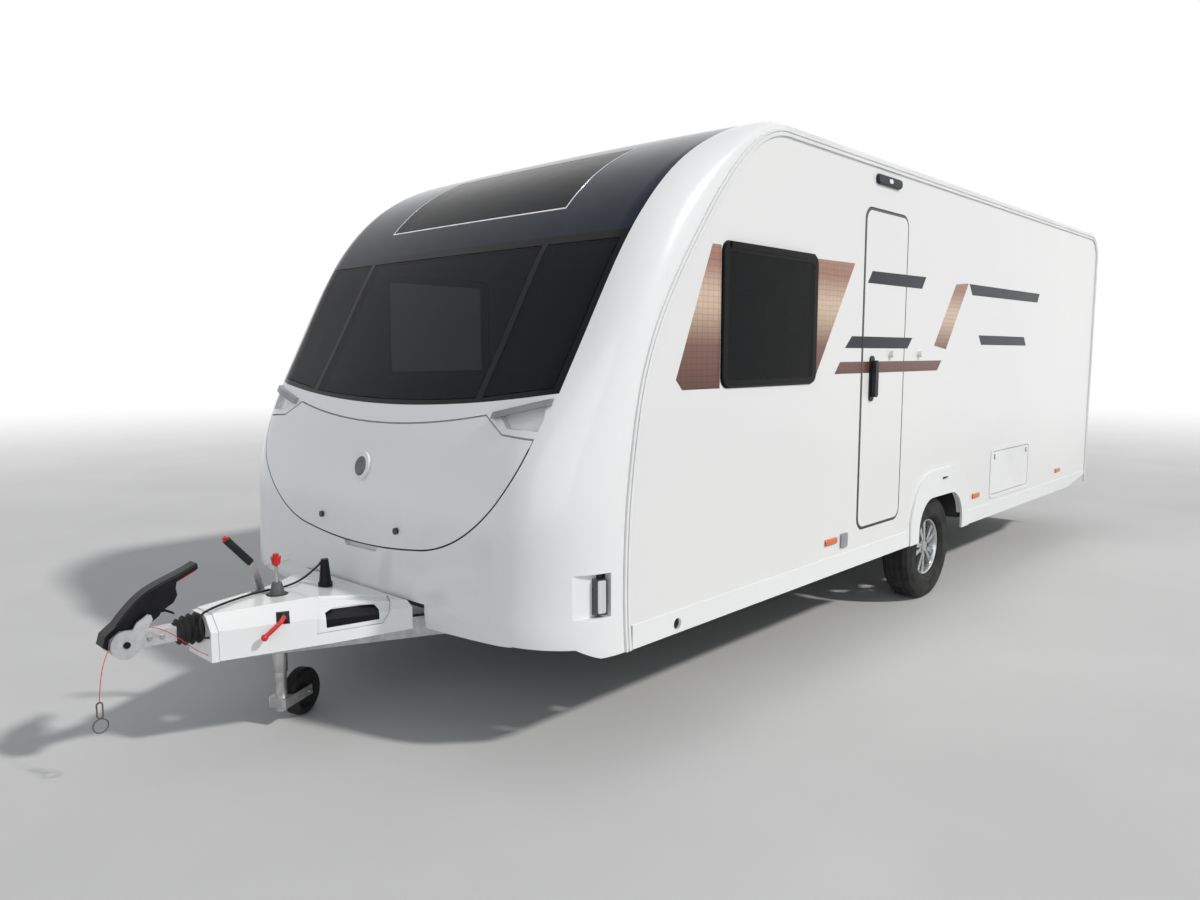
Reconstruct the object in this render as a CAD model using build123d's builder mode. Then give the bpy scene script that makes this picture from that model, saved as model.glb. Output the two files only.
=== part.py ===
from build123d import *
from math import atan, hypot, radians, tan
import os

# Driving dimensions in millimetres. x runs forward to the hitch from the middle of the
# overall length, y to the left (the door side) and z up from the ground.
BODY_WIDTH = 2450
WALL = 30
SKIN = 14
FIT_GAP = 0.3
RUN_GAP = 0.05
PANEL_GAP = 5

FLOOR_BOTTOM = 462
FLOOR_THICKNESS = 44
SKIRT_BOTTOM = 408
SKIRT_THICKNESS = 12
WALL_BOTTOM = 502
RAIL_TOP = 2522
ROOF_RISE = 60
REAR_X = -3800
REAR_CORNER_R = 180

AXLE_X = -561
TYRE_D = 650
TYRE_W = 185
RIM_D = 356
WHEEL_INSET = 45
ARCH_HALF = 335
ARCH_TOP = 662
ARCH_CORNER = 190
ARCH_SHIFT = -20

HALF = BODY_WIDTH / 2
INNER = HALF - WALL
FLOOR_TOP = FLOOR_BOTTOM + FLOOR_THICKNESS
AXLE_Z = TYRE_D / 2
TYRE_MID = HALF - WHEEL_INSET - TYRE_W / 2
ARCH_X = AXLE_X + ARCH_SHIFT

DOOR_X = (25, 549)
DOOR_Z = (598, RAIL_TOP - 224)
DOOR_CORNER = 70
SIDE_WINDOW_X = (1029, 1817)
SIDE_WINDOW_Z = (RAIL_TOP - 1127, RAIL_TOP - 511)
KITCHEN_WINDOW_X = (-900, -180)
WASHROOM_WINDOW_X = (-3050, -2560)
UPPER_WINDOW_Z = (RAIL_TOP - 1002, SIDE_WINDOW_Z[1])
REAR_WINDOW = (900, 470)
REAR_WINDOW_Z = RAIL_TOP - 742
WINDOW_CORNER = 50
HATCH_X = (-2240, -1429)
HATCH_Z = (531, 886)
HATCH_CORNER = 45

SIDES = {1: "left", -1: "right"}

# The front is a band bent over the nose of the van, given at stations from the bottom up to
# the roof: rail x and z on the side wall, crown x and z on the centre line, how far the
# crown's ends lie in from the walls, and how far the crown drops from the centre to its ends.
# Heights are drawn for a rail top of 2522 and stretch with it.
STRETCH = (RAIL_TOP - SKIRT_BOTTOM) / (2522 - 408)
NOSE = (
    (2402, 408, 2800, 408, 355, 20),
    (2413, 590, 2811, 590, 350, 20),
    (2412, 766, 2803, 776, 345, 20),
    (2396, 1007, 2771, 1037, 325, 20),
    (2365, 1222, 2683, 1272, 305, 20),
    (2300, 1492, 2526, 1552, 265, 20),
    (2180, 1742, 2381, 1812, 235, 18),
    (2015, 1982, 2204, 2092, 210, 16),
    (1830, 2212, 1966, 2327, 180, 15),
    (1640, 2394, 1713, 2474, 130, 15),
    (1480, 2488, 1510, 2554, 85, 15),
    (1330, 2522, 1330, 2522 + ROOF_RISE, 60, 15),
)


def stretched(z):
    return SKIRT_BOTTOM + (z - 408) * STRETCH


STATIONS = [
    (rail_x, stretched(rail_z), crown_x, stretched(crown_z), HALF - inset, drop)
    for rail_x, rail_z, crown_x, crown_z, inset, drop in NOSE
]
LEG = 25
ROOF_FRONT_X = STATIONS[-1][0]
ROOF_TOP = STATIONS[-1][3]
REAR_TURN_X = REAR_X + REAR_CORNER_R
REAR_TURN_Z = RAIL_TOP - REAR_CORNER_R
REAR_STATION = (REAR_X, REAR_TURN_Z, REAR_X - ROOF_TOP + RAIL_TOP, REAR_TURN_Z) + STATIONS[-1][4:]
REAR_CROWN_HALF, REAR_DROP = STATIONS[-1][4:]
UP = (Align.CENTER, Align.CENTER, Align.MIN)

os.makedirs("parts", exist_ok=True)


def finish(piece, name):
    piece.part.label = name
    export_step(piece.part, "parts/" + name + ".step")


def rail_direction(station):
    """Unit vector from the rail to the crown in the x, z plane, and their distance."""
    rail_x, rail_z, crown_x, crown_z = station[:4]
    reach = hypot(crown_x - rail_x, crown_z - rail_z)
    return (crown_x - rail_x) / reach, (crown_z - rail_z) / reach, reach


def chain(half, reach, crown_half, drop):
    """One side of the band from end to end: leg, corner, crown, corner, leg."""
    fall = tan(2 * atan(drop / crown_half))
    corner = half - crown_half
    shoulder = reach - drop
    for side in SIDES:
        Line((side * half, 0), (side * half, LEG))
        Bezier(
            (side * half, LEG),
            (side * half, LEG + 0.55 * (shoulder - LEG)),
            (side * (crown_half + 0.5 * corner), shoulder - 0.5 * corner * fall),
            (side * crown_half, shoulder),
        )
    ThreePointArc((crown_half, shoulder), (0, reach), (-crown_half, shoulder))


def band_section(station, outside, inside):
    """The band's U-shaped section in the plane through the station's rail and crown."""
    rail_x, rail_z, _, _, crown_half, drop = station
    dir_x, dir_z, reach = rail_direction(station)
    plane = Plane(origin=(rail_x, 0, rail_z), x_dir=(0, 1, 0), z_dir=(dir_z, 0, -dir_x))
    with BuildSketch(plane) as section:
        with BuildLine():
            chain(HALF + outside, reach + outside, crown_half, drop)
            chain(HALF - inside, reach - inside, crown_half, drop)
            for side in SIDES:
                Line((side * (HALF + outside), 0), (side * (HALF - inside), 0))
        make_face()
    return section.sketch


def front_band(outside, inside):
    """A slab that follows the front from outside its surface to inside it."""
    with BuildPart() as slab:
        for station in STATIONS:
            add(band_section(station, outside, inside))
        loft()
    return slab.part


def side_plane(side, outer, thickness):
    """Plane for an x, z sketch whose slab of that thickness has its outside at outer."""
    return Plane.XZ.offset(-outer if side > 0 else outer - thickness)


def rounded_y(x_range, z_range, y_low, y_high, corner, shrink=0):
    """A slab across y with rounded corners, its outline drawn in x and z."""
    centre = (sum(x_range) / 2, sum(z_range) / 2)
    width = x_range[1] - x_range[0] - 2 * shrink
    height = z_range[1] - z_range[0] - 2 * shrink
    with BuildPart() as slab:
        with BuildSketch(Plane.XZ.offset(-y_high)):
            with Locations(centre):
                RectangleRounded(width, height, corner - shrink)
        extrude(amount=y_high - y_low)
    return slab.part


def block(x_range, y_range, z_range):
    """A plain block between two corners."""
    with BuildPart() as made:
        with Locations((sum(x_range) / 2, sum(y_range) / 2, z_range[0])):
            Box(x_range[1] - x_range[0], abs(y_range[1] - y_range[0]), z_range[1] - z_range[0],
                align=UP)
    return made.part


def side_panel(points, y_low, y_high):
    """A slab across y whose outline is a closed list of x, z points."""
    with BuildPart() as slab:
        with BuildSketch(Plane.XZ.offset(-y_high)):
            with BuildLine():
                Polyline(*points, close=True)
            make_face()
        extrude(amount=y_high - y_low)
    return slab.part


def rod(start, end, radius):
    """A round bar from point to point."""
    start, end = Vector(start), Vector(end)
    with BuildPart(Plane(start, z_dir=end - start)) as bar:
        Cylinder(radius, (end - start).length, align=UP)
    return bar.part


def rail_curve(shift):
    """The rail line in x, z from the skirt up to the roof, moved towards the crown."""
    points = []
    for station in STATIONS:
        dir_x, dir_z, _ = rail_direction(station)
        points.append((station[0] + shift * dir_x, station[1] + shift * dir_z))
    return points


def wall_outline(shift, bottom):
    """Closed side-view outline of the body, grown by shift, from its bottom upwards."""
    curve = rail_curve(shift)
    top = RAIL_TOP + shift
    rear = REAR_X - shift
    Spline(*curve)
    Line(curve[-1], (REAR_TURN_X, top))
    RadiusArc((REAR_TURN_X, top), (rear, REAR_TURN_Z), -(REAR_CORNER_R + shift))
    Line((rear, REAR_TURN_Z), (rear, bottom))
    Line((rear, bottom), curve[0])


# Outlines seen from the front, in y and z
COWL_LOW = 1322
COWL_SIDE = ((1035, 1395), (1082, 2130), (1100, ROOF_TOP + 118))
FRONT_X = (1200, 3100)
PANE_TOP = 1995
PANORAMA = (635, 2166, 2480)
GRAB_RECESS = ((785, 1306), (1000, 1356), (1012, 1300), (1003, 1254), (850, 1258))
GRAB_BAR = ((762, 1292), (1024, 1350), (1024, 1376), (762, 1318))
LAMP_SCOOP = ((2490, 45), (2552, 45), (2634, 67), (2634, -100), (2490, -100))  # x, in from wall
LAMP_SCOOP_Z = (565, 732)
LAMP_X = (2508, 2552)
LAMP_Z = (576, 712)


def cowl_outline(grow):
    for side in SIDES:
        Polyline(*[(side * (y + grow), z) for y, z in COWL_SIDE])
    top_y, top_z = COWL_SIDE[-1]
    low_y, low_z = COWL_SIDE[0]
    Line((top_y + grow, top_z), (-top_y - grow, top_z))
    ThreePointArc((-low_y - grow, low_z), (0, COWL_LOW - grow), (low_y + grow, low_z))


def lid_outline():
    ThreePointArc((-710, 1306), (0, 1245), (710, 1306))
    ThreePointArc((424, 741), (0, 714), (-424, 741))
    for side in SIDES:
        Polyline((side * 710, 1306), (side * 835, 1238), (side * 998, 1228))
        ThreePointArc((side * 998, 1228), (side * 943, 1065), (side * 838, 930))
        ThreePointArc((side * 838, 930), (side * 648, 801), (side * 424, 741))


def front_prism(outline, inset=0):
    """A prism along x from an outline function, drawn inwards by inset."""
    with BuildPart() as prism:
        with BuildSketch(Plane.YZ.offset(FRONT_X[0])):
            with BuildLine():
                outline()
            make_face()
            if inset:
                offset(amount=-inset)
        extrude(amount=FRONT_X[1] - FRONT_X[0])
    return prism.part


def mirrored(points):
    """An outline function for a closed list of y, z points on one side, and its mirror."""
    return [lambda side=side: Polyline(*[(side * y, z) for y, z in points], close=True)
            for side in SIDES]


def centre_pane():
    Line((610, 1364), (622, PANE_TOP))
    Line((622, PANE_TOP), (-622, PANE_TOP))
    Line((-622, PANE_TOP), (-610, 1364))
    ThreePointArc((-610, 1364), (0, 1342), (610, 1364))


def panorama():
    half, low, high = PANORAMA
    Polyline((half, low), (half, high), (-half, high), (-half, low), close=True)


def apron():
    Polyline(
        (1215, 300), (1215, 400), (1165, 452), (900, 462), (620, 540), (480, 532),
        (-480, 532), (-620, 540), (-900, 462), (-1165, 452), (-1215, 400), (-1215, 300),
        close=True,
    )


UNDERCUT = ((470, 545), (620, 552), (905, 474), (960, 474), (960, 450), (769, 438), (470, 424))
UNDERCUT_DEPTH = 14
UNDERCUT_LAP = 5
FINGER_PULL = ((-112, 718), (160, 718), (140, 696), (-90, 693))
SIDE_PANE = ((648, 1368), (1005, 1412), (1048, PANE_TOP), (658, PANE_TOP))
PANES = [centre_pane, panorama] + mirrored(SIDE_PANE)
PANE_SEAT = 18
PANE_GAP = 3
LID_SKIN = 22
LID_SEAT = 24
LID_GAP = 7
RECESS_DEPTH = 24
LAMP_DEPTH = 25

shell = front_band(0, WALL)
skin = front_band(0, SKIN)
rebate = front_band(WALL, SKIN + FIT_GAP)
lid_skin = front_band(0, LID_SKIN)
lid_rebate = front_band(WALL, LID_SKIN + FIT_GAP)
recess = front_band(WALL, RECESS_DEPTH)
tucked = front_band(-UNDERCUT_DEPTH, WALL - UNDERCUT_LAP)

# White front moulding with its two cheeks, cut for the cowl, the locker lid and the apron,
# with tucked-in skirts beside the drawbar, a finger pull under the lid and recesses for the
# grab handles and the corner lamps
with BuildPart() as front_moulding:
    add(shell)
    add(front_prism(lambda: cowl_outline(1)), mode=Mode.SUBTRACT)
    add(lid_rebate & front_prism(lid_outline), mode=Mode.SUBTRACT)
    add(front_prism(lid_outline, LID_SEAT), mode=Mode.SUBTRACT)
    add(front_prism(apron), mode=Mode.SUBTRACT)
    for outline in mirrored(UNDERCUT):
        add(tucked & front_prism(outline))
    for outline in [lambda: Polyline(*FINGER_PULL, close=True)] + mirrored(GRAB_RECESS):
        add(recess & front_prism(outline), mode=Mode.SUBTRACT)
    for side in SIDES:
        with BuildSketch(Plane.XY.offset(LAMP_SCOOP_Z[0])):
            with BuildLine():
                Polyline(*[(x, side * (HALF - inward)) for x, inward in LAMP_SCOOP], close=True)
            make_face()
        extrude(amount=LAMP_SCOOP_Z[1] - LAMP_SCOOP_Z[0], mode=Mode.SUBTRACT)
finish(front_moulding, "front_moulding")

GRAB_DEPTH = 20
with BuildPart() as grab_handles:
    grip = front_band(GRAB_DEPTH, -FIT_GAP)
    for outline in mirrored(GRAB_BAR):
        add(grip & front_prism(outline))
finish(grab_handles, "grab_handles")

with BuildPart() as front_lamps:
    lens = front_band(0, LAMP_DEPTH)
    for side in SIDES:
        add(lens & block(LAMP_X, sorted((side * INNER, side * (INNER - 100))), LAMP_Z))
        add(lens & block(LAMP_X, sorted((side * INNER, side * (HALF + WALL))), LAMP_Z))
    add(front_moulding.part, mode=Mode.SUBTRACT)
finish(front_lamps, "front_lamps")

# Dark cowl over the nose, rebated for its panes
with BuildPart() as front_cowl:
    add(shell & front_prism(lambda: cowl_outline(0)))
    for outline in PANES:
        add(rebate & front_prism(outline), mode=Mode.SUBTRACT)
        add(front_prism(outline, PANE_SEAT), mode=Mode.SUBTRACT)
finish(front_cowl, "front_cowl")

with BuildPart() as front_windows:
    for outline in PANES:
        add(skin & front_prism(outline, PANE_GAP))
finish(front_windows, "front_windows")

# Front locker lid, hinged along its top edge, with a plain round boss and two locks
with BuildPart() as locker_lid:
    add(lid_skin & front_prism(lid_outline, LID_GAP))
finish(locker_lid, "locker_lid")

LOCKS = ((295, 807), (-295, 807))
BOSS_Z = 1053
BOSS_R = 62
LOCK_R = 14
with BuildPart() as lid_fittings:
    fitting = front_band(12, -FIT_GAP)
    for y, z, radius in ((0, BOSS_Z, BOSS_R), *((y, z, LOCK_R) for y, z in LOCKS)):
        add(fitting & rod((FRONT_X[0], y, z), (FRONT_X[1], y, z), radius))
finish(lid_fittings, "lid_fittings")

# Roof and rear: the last station carried back, round the rear corner and down
ROOFLIGHTS = (  # name, x, length, width
    ("rooflight_front", 700, 700, 500),
    ("rooflight_rear", -1750, 400, 400),
)
LIGHT_PROUD = 12
LIGHT_DEPTH = 45
LIGHT_TOP = ROOF_TOP + LIGHT_PROUD
LIGHT_LIP = 24
LIGHT_RIM = 30
LIGHT_CORNER = 40
DOME_RISE = 28
with BuildPart() as roof:
    section = band_section(STATIONS[-1], 0, WALL)
    extrude(section, amount=REAR_TURN_X - ROOF_FRONT_X)
    for _, x, length, width in ROOFLIGHTS:
        with BuildSketch(Plane.XY.offset(ROOF_TOP - 100)):
            with Locations((x, 0)):
                RectangleRounded(length, width, LIGHT_CORNER)
        extrude(amount=200, mode=Mode.SUBTRACT)
finish(roof, "roof")

with BuildPart() as rear_panel:
    section = band_section(STATIONS[-1], 0, WALL)
    turned = section.moved(Location((REAR_TURN_X - ROOF_FRONT_X, 0, 0)))
    revolve(turned, Axis((REAR_TURN_X, 0, REAR_TURN_Z), (0, -1, 0)), 90)
    extrude(band_section(REAR_STATION, 0, WALL), amount=FLOOR_BOTTOM - REAR_TURN_Z)
    with BuildSketch(Plane.YZ.offset(REAR_X - 100)):
        with Locations((0, REAR_WINDOW_Z)):
            RectangleRounded(*REAR_WINDOW, WINDOW_CORNER)
    extrude(amount=200, mode=Mode.SUBTRACT)
finish(rear_panel, "rear_panel")

with BuildPart() as rooflight_frames:
    for name, x, length, width in ROOFLIGHTS:
        with BuildSketch(Plane.XY.offset(ROOF_TOP - LIGHT_DEPTH)):
            with Locations((x, 0)):
                RectangleRounded(length, width, LIGHT_CORNER)
                RectangleRounded(length - 2 * LIGHT_RIM, width - 2 * LIGHT_RIM,
                                 LIGHT_CORNER - 15, mode=Mode.SUBTRACT)
        extrude(amount=LIGHT_DEPTH + LIGHT_PROUD)
finish(rooflight_frames, "rooflight_frames")

for name, x, length, width in ROOFLIGHTS:
    with BuildPart() as dome:
        with BuildSketch(Plane.XY.offset(LIGHT_TOP + FIT_GAP)):
            with Locations((x, 0)):
                RectangleRounded(length + 2 * LIGHT_LIP, width + 2 * LIGHT_LIP, LIGHT_CORNER + 20)
        extrude(amount=DOME_RISE, taper=25)
        with BuildSketch(Plane.XY.offset(LIGHT_TOP + FIT_GAP)):
            with Locations((x, 0)):
                RectangleRounded(length - 2 * LIGHT_RIM, width - 2 * LIGHT_RIM, LIGHT_CORNER)
        extrude(amount=DOME_RISE - 6, mode=Mode.SUBTRACT)
    finish(dome, name)

# Side walls, one sheet each, with door, windows, hatch and wheel arch cut out. The left
# wall carries the stop that the door closes against.
DOOR_STOP = 14
DOOR_STOP_DEPTH = 12
CUTS = {
    1: ((DOOR_X, DOOR_Z, DOOR_CORNER), (SIDE_WINDOW_X, SIDE_WINDOW_Z, WINDOW_CORNER),
        (HATCH_X, HATCH_Z, HATCH_CORNER)),
    -1: ((SIDE_WINDOW_X, SIDE_WINDOW_Z, WINDOW_CORNER),
         (KITCHEN_WINDOW_X, UPPER_WINDOW_Z, WINDOW_CORNER),
         (WASHROOM_WINDOW_X, UPPER_WINDOW_Z, WINDOW_CORNER)),
}
JOINT_GAP = 3
ARCH_LIP = 15
for side, name in SIDES.items():
    with BuildPart() as wall:
        with BuildSketch(side_plane(side, HALF, WALL)):
            with BuildLine():
                wall_outline(-JOINT_GAP, SKIRT_BOTTOM)
            make_face()
            with Locations((0, WALL_BOTTOM / 2)):
                Rectangle(9000, WALL_BOTTOM, mode=Mode.SUBTRACT)
            with Locations((ARCH_X, 0)):
                RectangleRounded(2 * (ARCH_HALF + ARCH_LIP), 2 * (ARCH_TOP + ARCH_LIP),
                                 ARCH_CORNER + ARCH_LIP, mode=Mode.SUBTRACT)
        extrude(amount=WALL)
        low, high = sorted((side * (INNER - WALL), side * (HALF + WALL)))
        for x_range, z_range, corner in CUTS[side]:
            add(rounded_y(x_range, z_range, low, high, corner), mode=Mode.SUBTRACT)
        if side > 0:
            low = INNER - DOOR_STOP_DEPTH
            add(rounded_y(DOOR_X, DOOR_Z, low, INNER, DOOR_CORNER, -DOOR_STOP))
            add(rounded_y(DOOR_X, DOOR_Z, low - 1, INNER + 1, DOOR_CORNER, DOOR_STOP + PANEL_GAP),
                mode=Mode.SUBTRACT)
    finish(wall, "wall_" + name)

# Awning rails: strips round the walls' edges that cover the joints
RAIL_PROUD = 9
RAIL_OUT = 12
RAIL_IN = 18
RAIL_CHANNEL = (2, -6)
CHANNEL_DEPTH = 5
with BuildPart() as awning_rails:
    for side in SIDES:
        with BuildSketch(side_plane(side, HALF + RAIL_PROUD, RAIL_PROUD)):
            with BuildLine():
                wall_outline(RAIL_OUT, SKIRT_BOTTOM)
            make_face()
            with BuildLine():
                wall_outline(-RAIL_IN, SKIRT_BOTTOM)
            make_face(mode=Mode.SUBTRACT)
            with Locations(((REAR_X + STATIONS[0][0]) / 2, WALL_BOTTOM - 100)):
                Rectangle(STATIONS[0][0] - REAR_X - 2 * RAIL_IN, 200, mode=Mode.SUBTRACT)
        extrude(amount=RAIL_PROUD)
        with BuildSketch(side_plane(side, HALF + RAIL_PROUD, CHANNEL_DEPTH)):
            with BuildLine():
                wall_outline(RAIL_CHANNEL[0], SKIRT_BOTTOM - 10)
            make_face()
            with BuildLine():
                wall_outline(RAIL_CHANNEL[1], SKIRT_BOTTOM - 20)
            make_face(mode=Mode.SUBTRACT)
        extrude(amount=CHANNEL_DEPTH, mode=Mode.SUBTRACT)
finish(awning_rails, "awning_rails")

# Skirts below the walls in two lengths either side of the wheel
SKIRT_PROUD = 4
TRIM_HALF = 452
SKIRT_X = (REAR_X + 22, STATIONS[0][0] - 26)
SKIRT_REAR_Z = 472
SKIRT_TURN_X = -3288
STEADY_HOLE = (2095, 447, 24)
with BuildPart() as skirts:
    for side in SIDES:
        with BuildSketch(side_plane(side, HALF + SKIRT_PROUD, SKIRT_THICKNESS)):
            with BuildLine():
                Polyline(
                    (SKIRT_X[1], SKIRT_BOTTOM), (SKIRT_X[1], WALL_BOTTOM),
                    (SKIRT_X[0], WALL_BOTTOM), (SKIRT_X[0], SKIRT_REAR_Z),
                    (SKIRT_TURN_X, SKIRT_BOTTOM), close=True,
                )
            make_face()
            with Locations((ARCH_X, SKIRT_BOTTOM)):
                Rectangle(2 * (TRIM_HALF + JOINT_GAP), 400, mode=Mode.SUBTRACT)
            with Locations(STEADY_HOLE[:2]):
                Circle(STEADY_HOLE[2], mode=Mode.SUBTRACT)
        extrude(amount=SKIRT_THICKNESS)
finish(skirts, "skirts")

# Wheel arch trims, raised mouldings down to the bottom of the skirt
TRIM_PROUD = 14
TRIM_FOOT_Z = 560
TRIM_TOP = 830
TRIM_FLAT = 130
TRIM_SHOULDER = ((TRIM_HALF - 40, 700), (330, TRIM_TOP))
with BuildPart() as arch_trims:
    for side in SIDES:
        with BuildSketch(side_plane(side, HALF + TRIM_PROUD, TRIM_PROUD)):
            with BuildLine():
                for way in (1, -1):
                    foot = (ARCH_X + way * TRIM_HALF, TRIM_FOOT_Z)
                    Line((foot[0], SKIRT_BOTTOM), foot)
                    Bezier(foot, *[(ARCH_X + way * x, z) for x, z in TRIM_SHOULDER],
                           (ARCH_X + way * TRIM_FLAT, TRIM_TOP))
                Line((ARCH_X + TRIM_FLAT, TRIM_TOP), (ARCH_X - TRIM_FLAT, TRIM_TOP))
                Line((ARCH_X + TRIM_HALF, SKIRT_BOTTOM), (ARCH_X - TRIM_HALF, SKIRT_BOTTOM))
            make_face()
            with Locations((ARCH_X - 30, (ARCH_TOP + TRIM_TOP) / 2 + 22)):
                SlotOverall(90, 16, mode=Mode.SUBTRACT)
            with Locations((ARCH_X, 0)):
                RectangleRounded(2 * ARCH_HALF, 2 * ARCH_TOP, ARCH_CORNER, mode=Mode.SUBTRACT)
        extrude(amount=TRIM_PROUD)
finish(arch_trims, "arch_trims")

# Side and rear windows: black seals in the openings and proud tinted panes over them
WINDOWS = (  # side, x range, z range
    (1, SIDE_WINDOW_X, SIDE_WINDOW_Z),
    (-1, SIDE_WINDOW_X, SIDE_WINDOW_Z),
    (-1, KITCHEN_WINDOW_X, UPPER_WINDOW_Z),
    (-1, WASHROOM_WINDOW_X, UPPER_WINDOW_Z),
)
SEAL = 16
PANE_PROUD = 12
PANE_EDGE = 4
HINGE_RAIL = 26
REAR_PANE_LAP = 15
with BuildPart() as window_seals:
    for side, x_range, z_range in WINDOWS:
        low, high = sorted((side * INNER, side * HALF))
        ring = rounded_y(x_range, z_range, low, high, WINDOW_CORNER)
        hole = rounded_y(x_range, z_range, low - 1, high + 1, WINDOW_CORNER, SEAL)
        add(ring - hole)
finish(window_seals, "window_seals")

with BuildPart() as rear_pane:
    with BuildSketch(Plane.YZ.offset(REAR_STATION[2] - PANE_PROUD)):
        with Locations((0, REAR_WINDOW_Z)):
            RectangleRounded(REAR_WINDOW[0] + 2 * REAR_PANE_LAP,
                             REAR_WINDOW[1] + 2 * REAR_PANE_LAP, WINDOW_CORNER + REAR_PANE_LAP)
    extrude(amount=PANE_PROUD + REAR_DROP)
    add(rear_panel.part, mode=Mode.SUBTRACT)

with BuildPart() as window_panes:
    for side, x_range, z_range in WINDOWS:
        low, high = sorted((side * HALF, side * (HALF + PANE_PROUD)))
        add(rounded_y(x_range, z_range, low, high, WINDOW_CORNER, PANE_EDGE))
        hinge_rail = (z_range[1] - PANE_EDGE - HINGE_RAIL, z_range[1] - PANE_EDGE)
        add(block((x_range[0] + WINDOW_CORNER, x_range[1] - WINDOW_CORNER), (low, high + side * 5),
                  hinge_rail))
    outside = [face for face in window_panes.faces()
               if abs(abs(face.center().Y) - HALF - PANE_PROUD) < 1]
    lower = [edge for face in outside for edge in face.edges()
             if edge.center().Z < max(SIDE_WINDOW_Z) - PANE_EDGE - HINGE_RAIL - 1]
    chamfer(lower, PANE_EDGE)
    add(rear_pane.part)
finish(window_panes, "window_panes")

# Entrance door, hinged at its rear edge, with its handle and holdback
with BuildPart() as door:
    add(rounded_y(DOOR_X, DOOR_Z, INNER + FIT_GAP, HALF, DOOR_CORNER, PANEL_GAP))
finish(door, "door")

HANDLE_X = 430
HANDLE_Z = (1288, 1529)
KNOB_X = 207
WALL_KNOB_X = -170
KNOB_Z = 1539
KNOB = (18, 22)
with BuildPart() as door_fittings:
    add(rounded_y((HANDLE_X - 24, HANDLE_X + 24), HANDLE_Z, HALF, HALF + 8, 22))
    add(rounded_y((HANDLE_X - 20, HANDLE_X + 14), (HANDLE_Z[0] + 22, HANDLE_Z[1] - 24), HALF + 8,
                  HALF + 34, 16))
    add(rod((KNOB_X, HALF, KNOB_Z), (KNOB_X, HALF + KNOB[1], KNOB_Z), KNOB[0]))
finish(door_fittings, "door_fittings")

# Small fittings on the left wall: door catch, water point and awning light
with BuildPart() as wall_fittings:
    add(rod((WALL_KNOB_X, HALF, KNOB_Z), (WALL_KNOB_X, HALF + KNOB[1], KNOB_Z), KNOB[0]))
    add(rounded_y((655, 723), (535, 610), HALF, HALF + 10, 12))
    add(rounded_y((252, 352), (2429, 2465), HALF, HALF + 14, 17))
finish(wall_fittings, "wall_fittings")

MARKERS = ((824, 585), (-1172, 587), (-2991, 582))
MARKER = (96, 26, 10)
with BuildPart() as side_markers:
    for side in SIDES:
        low, high = sorted((side * HALF, side * (HALF + MARKER[2])))
        for x, z in MARKERS:
            add(rounded_y((x - MARKER[0] / 2, x + MARKER[0] / 2),
                          (z - MARKER[1] / 2, z + MARKER[1] / 2), low, high, 6))
finish(side_markers, "side_markers")

# Service hatch with a fixed frame round it, hinged along its bottom edge
HATCH_RIM = 24
HATCH_PROUD = 6
HATCH_THICKNESS = 20
HATCH_EDGE = HATCH_RIM + PANEL_GAP
HATCH_FACE = HALF + 4
HATCH_BACK = HATCH_FACE - HATCH_THICKNESS
with BuildPart() as hatch_frame:
    add(rounded_y(HATCH_X, HATCH_Z, INNER, HALF + HATCH_PROUD, HATCH_CORNER))
    add(rounded_y(HATCH_X, HATCH_Z, HATCH_BACK - FIT_GAP, HALF + 2 * HATCH_PROUD, HATCH_CORNER,
                  HATCH_RIM), mode=Mode.SUBTRACT)
    add(rounded_y(HATCH_X, HATCH_Z, INNER - 1, HALF, HATCH_CORNER, HATCH_RIM + 12),
        mode=Mode.SUBTRACT)
finish(hatch_frame, "hatch_frame")
with BuildPart() as service_hatch:
    add(rounded_y(HATCH_X, HATCH_Z, HATCH_BACK, HATCH_FACE, HATCH_CORNER, HATCH_EDGE))
finish(service_hatch, "service_hatch")

# Rear lamp clusters and the plain plate panel between them
LAMP_Y = (985, 1115)
REAR_LAMP_Z = (640, 900)
LAMP_PROUD = 22
LAMP_BACK = REAR_X - 25
with BuildPart() as rear_lamps:
    for side in SIDES:
        add(block((REAR_STATION[2] - LAMP_PROUD, LAMP_BACK),
                  sorted((side * LAMP_Y[0], side * LAMP_Y[1])), REAR_LAMP_Z))
    add(rear_panel.part, mode=Mode.SUBTRACT)
finish(rear_lamps, "rear_lamps")

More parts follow.
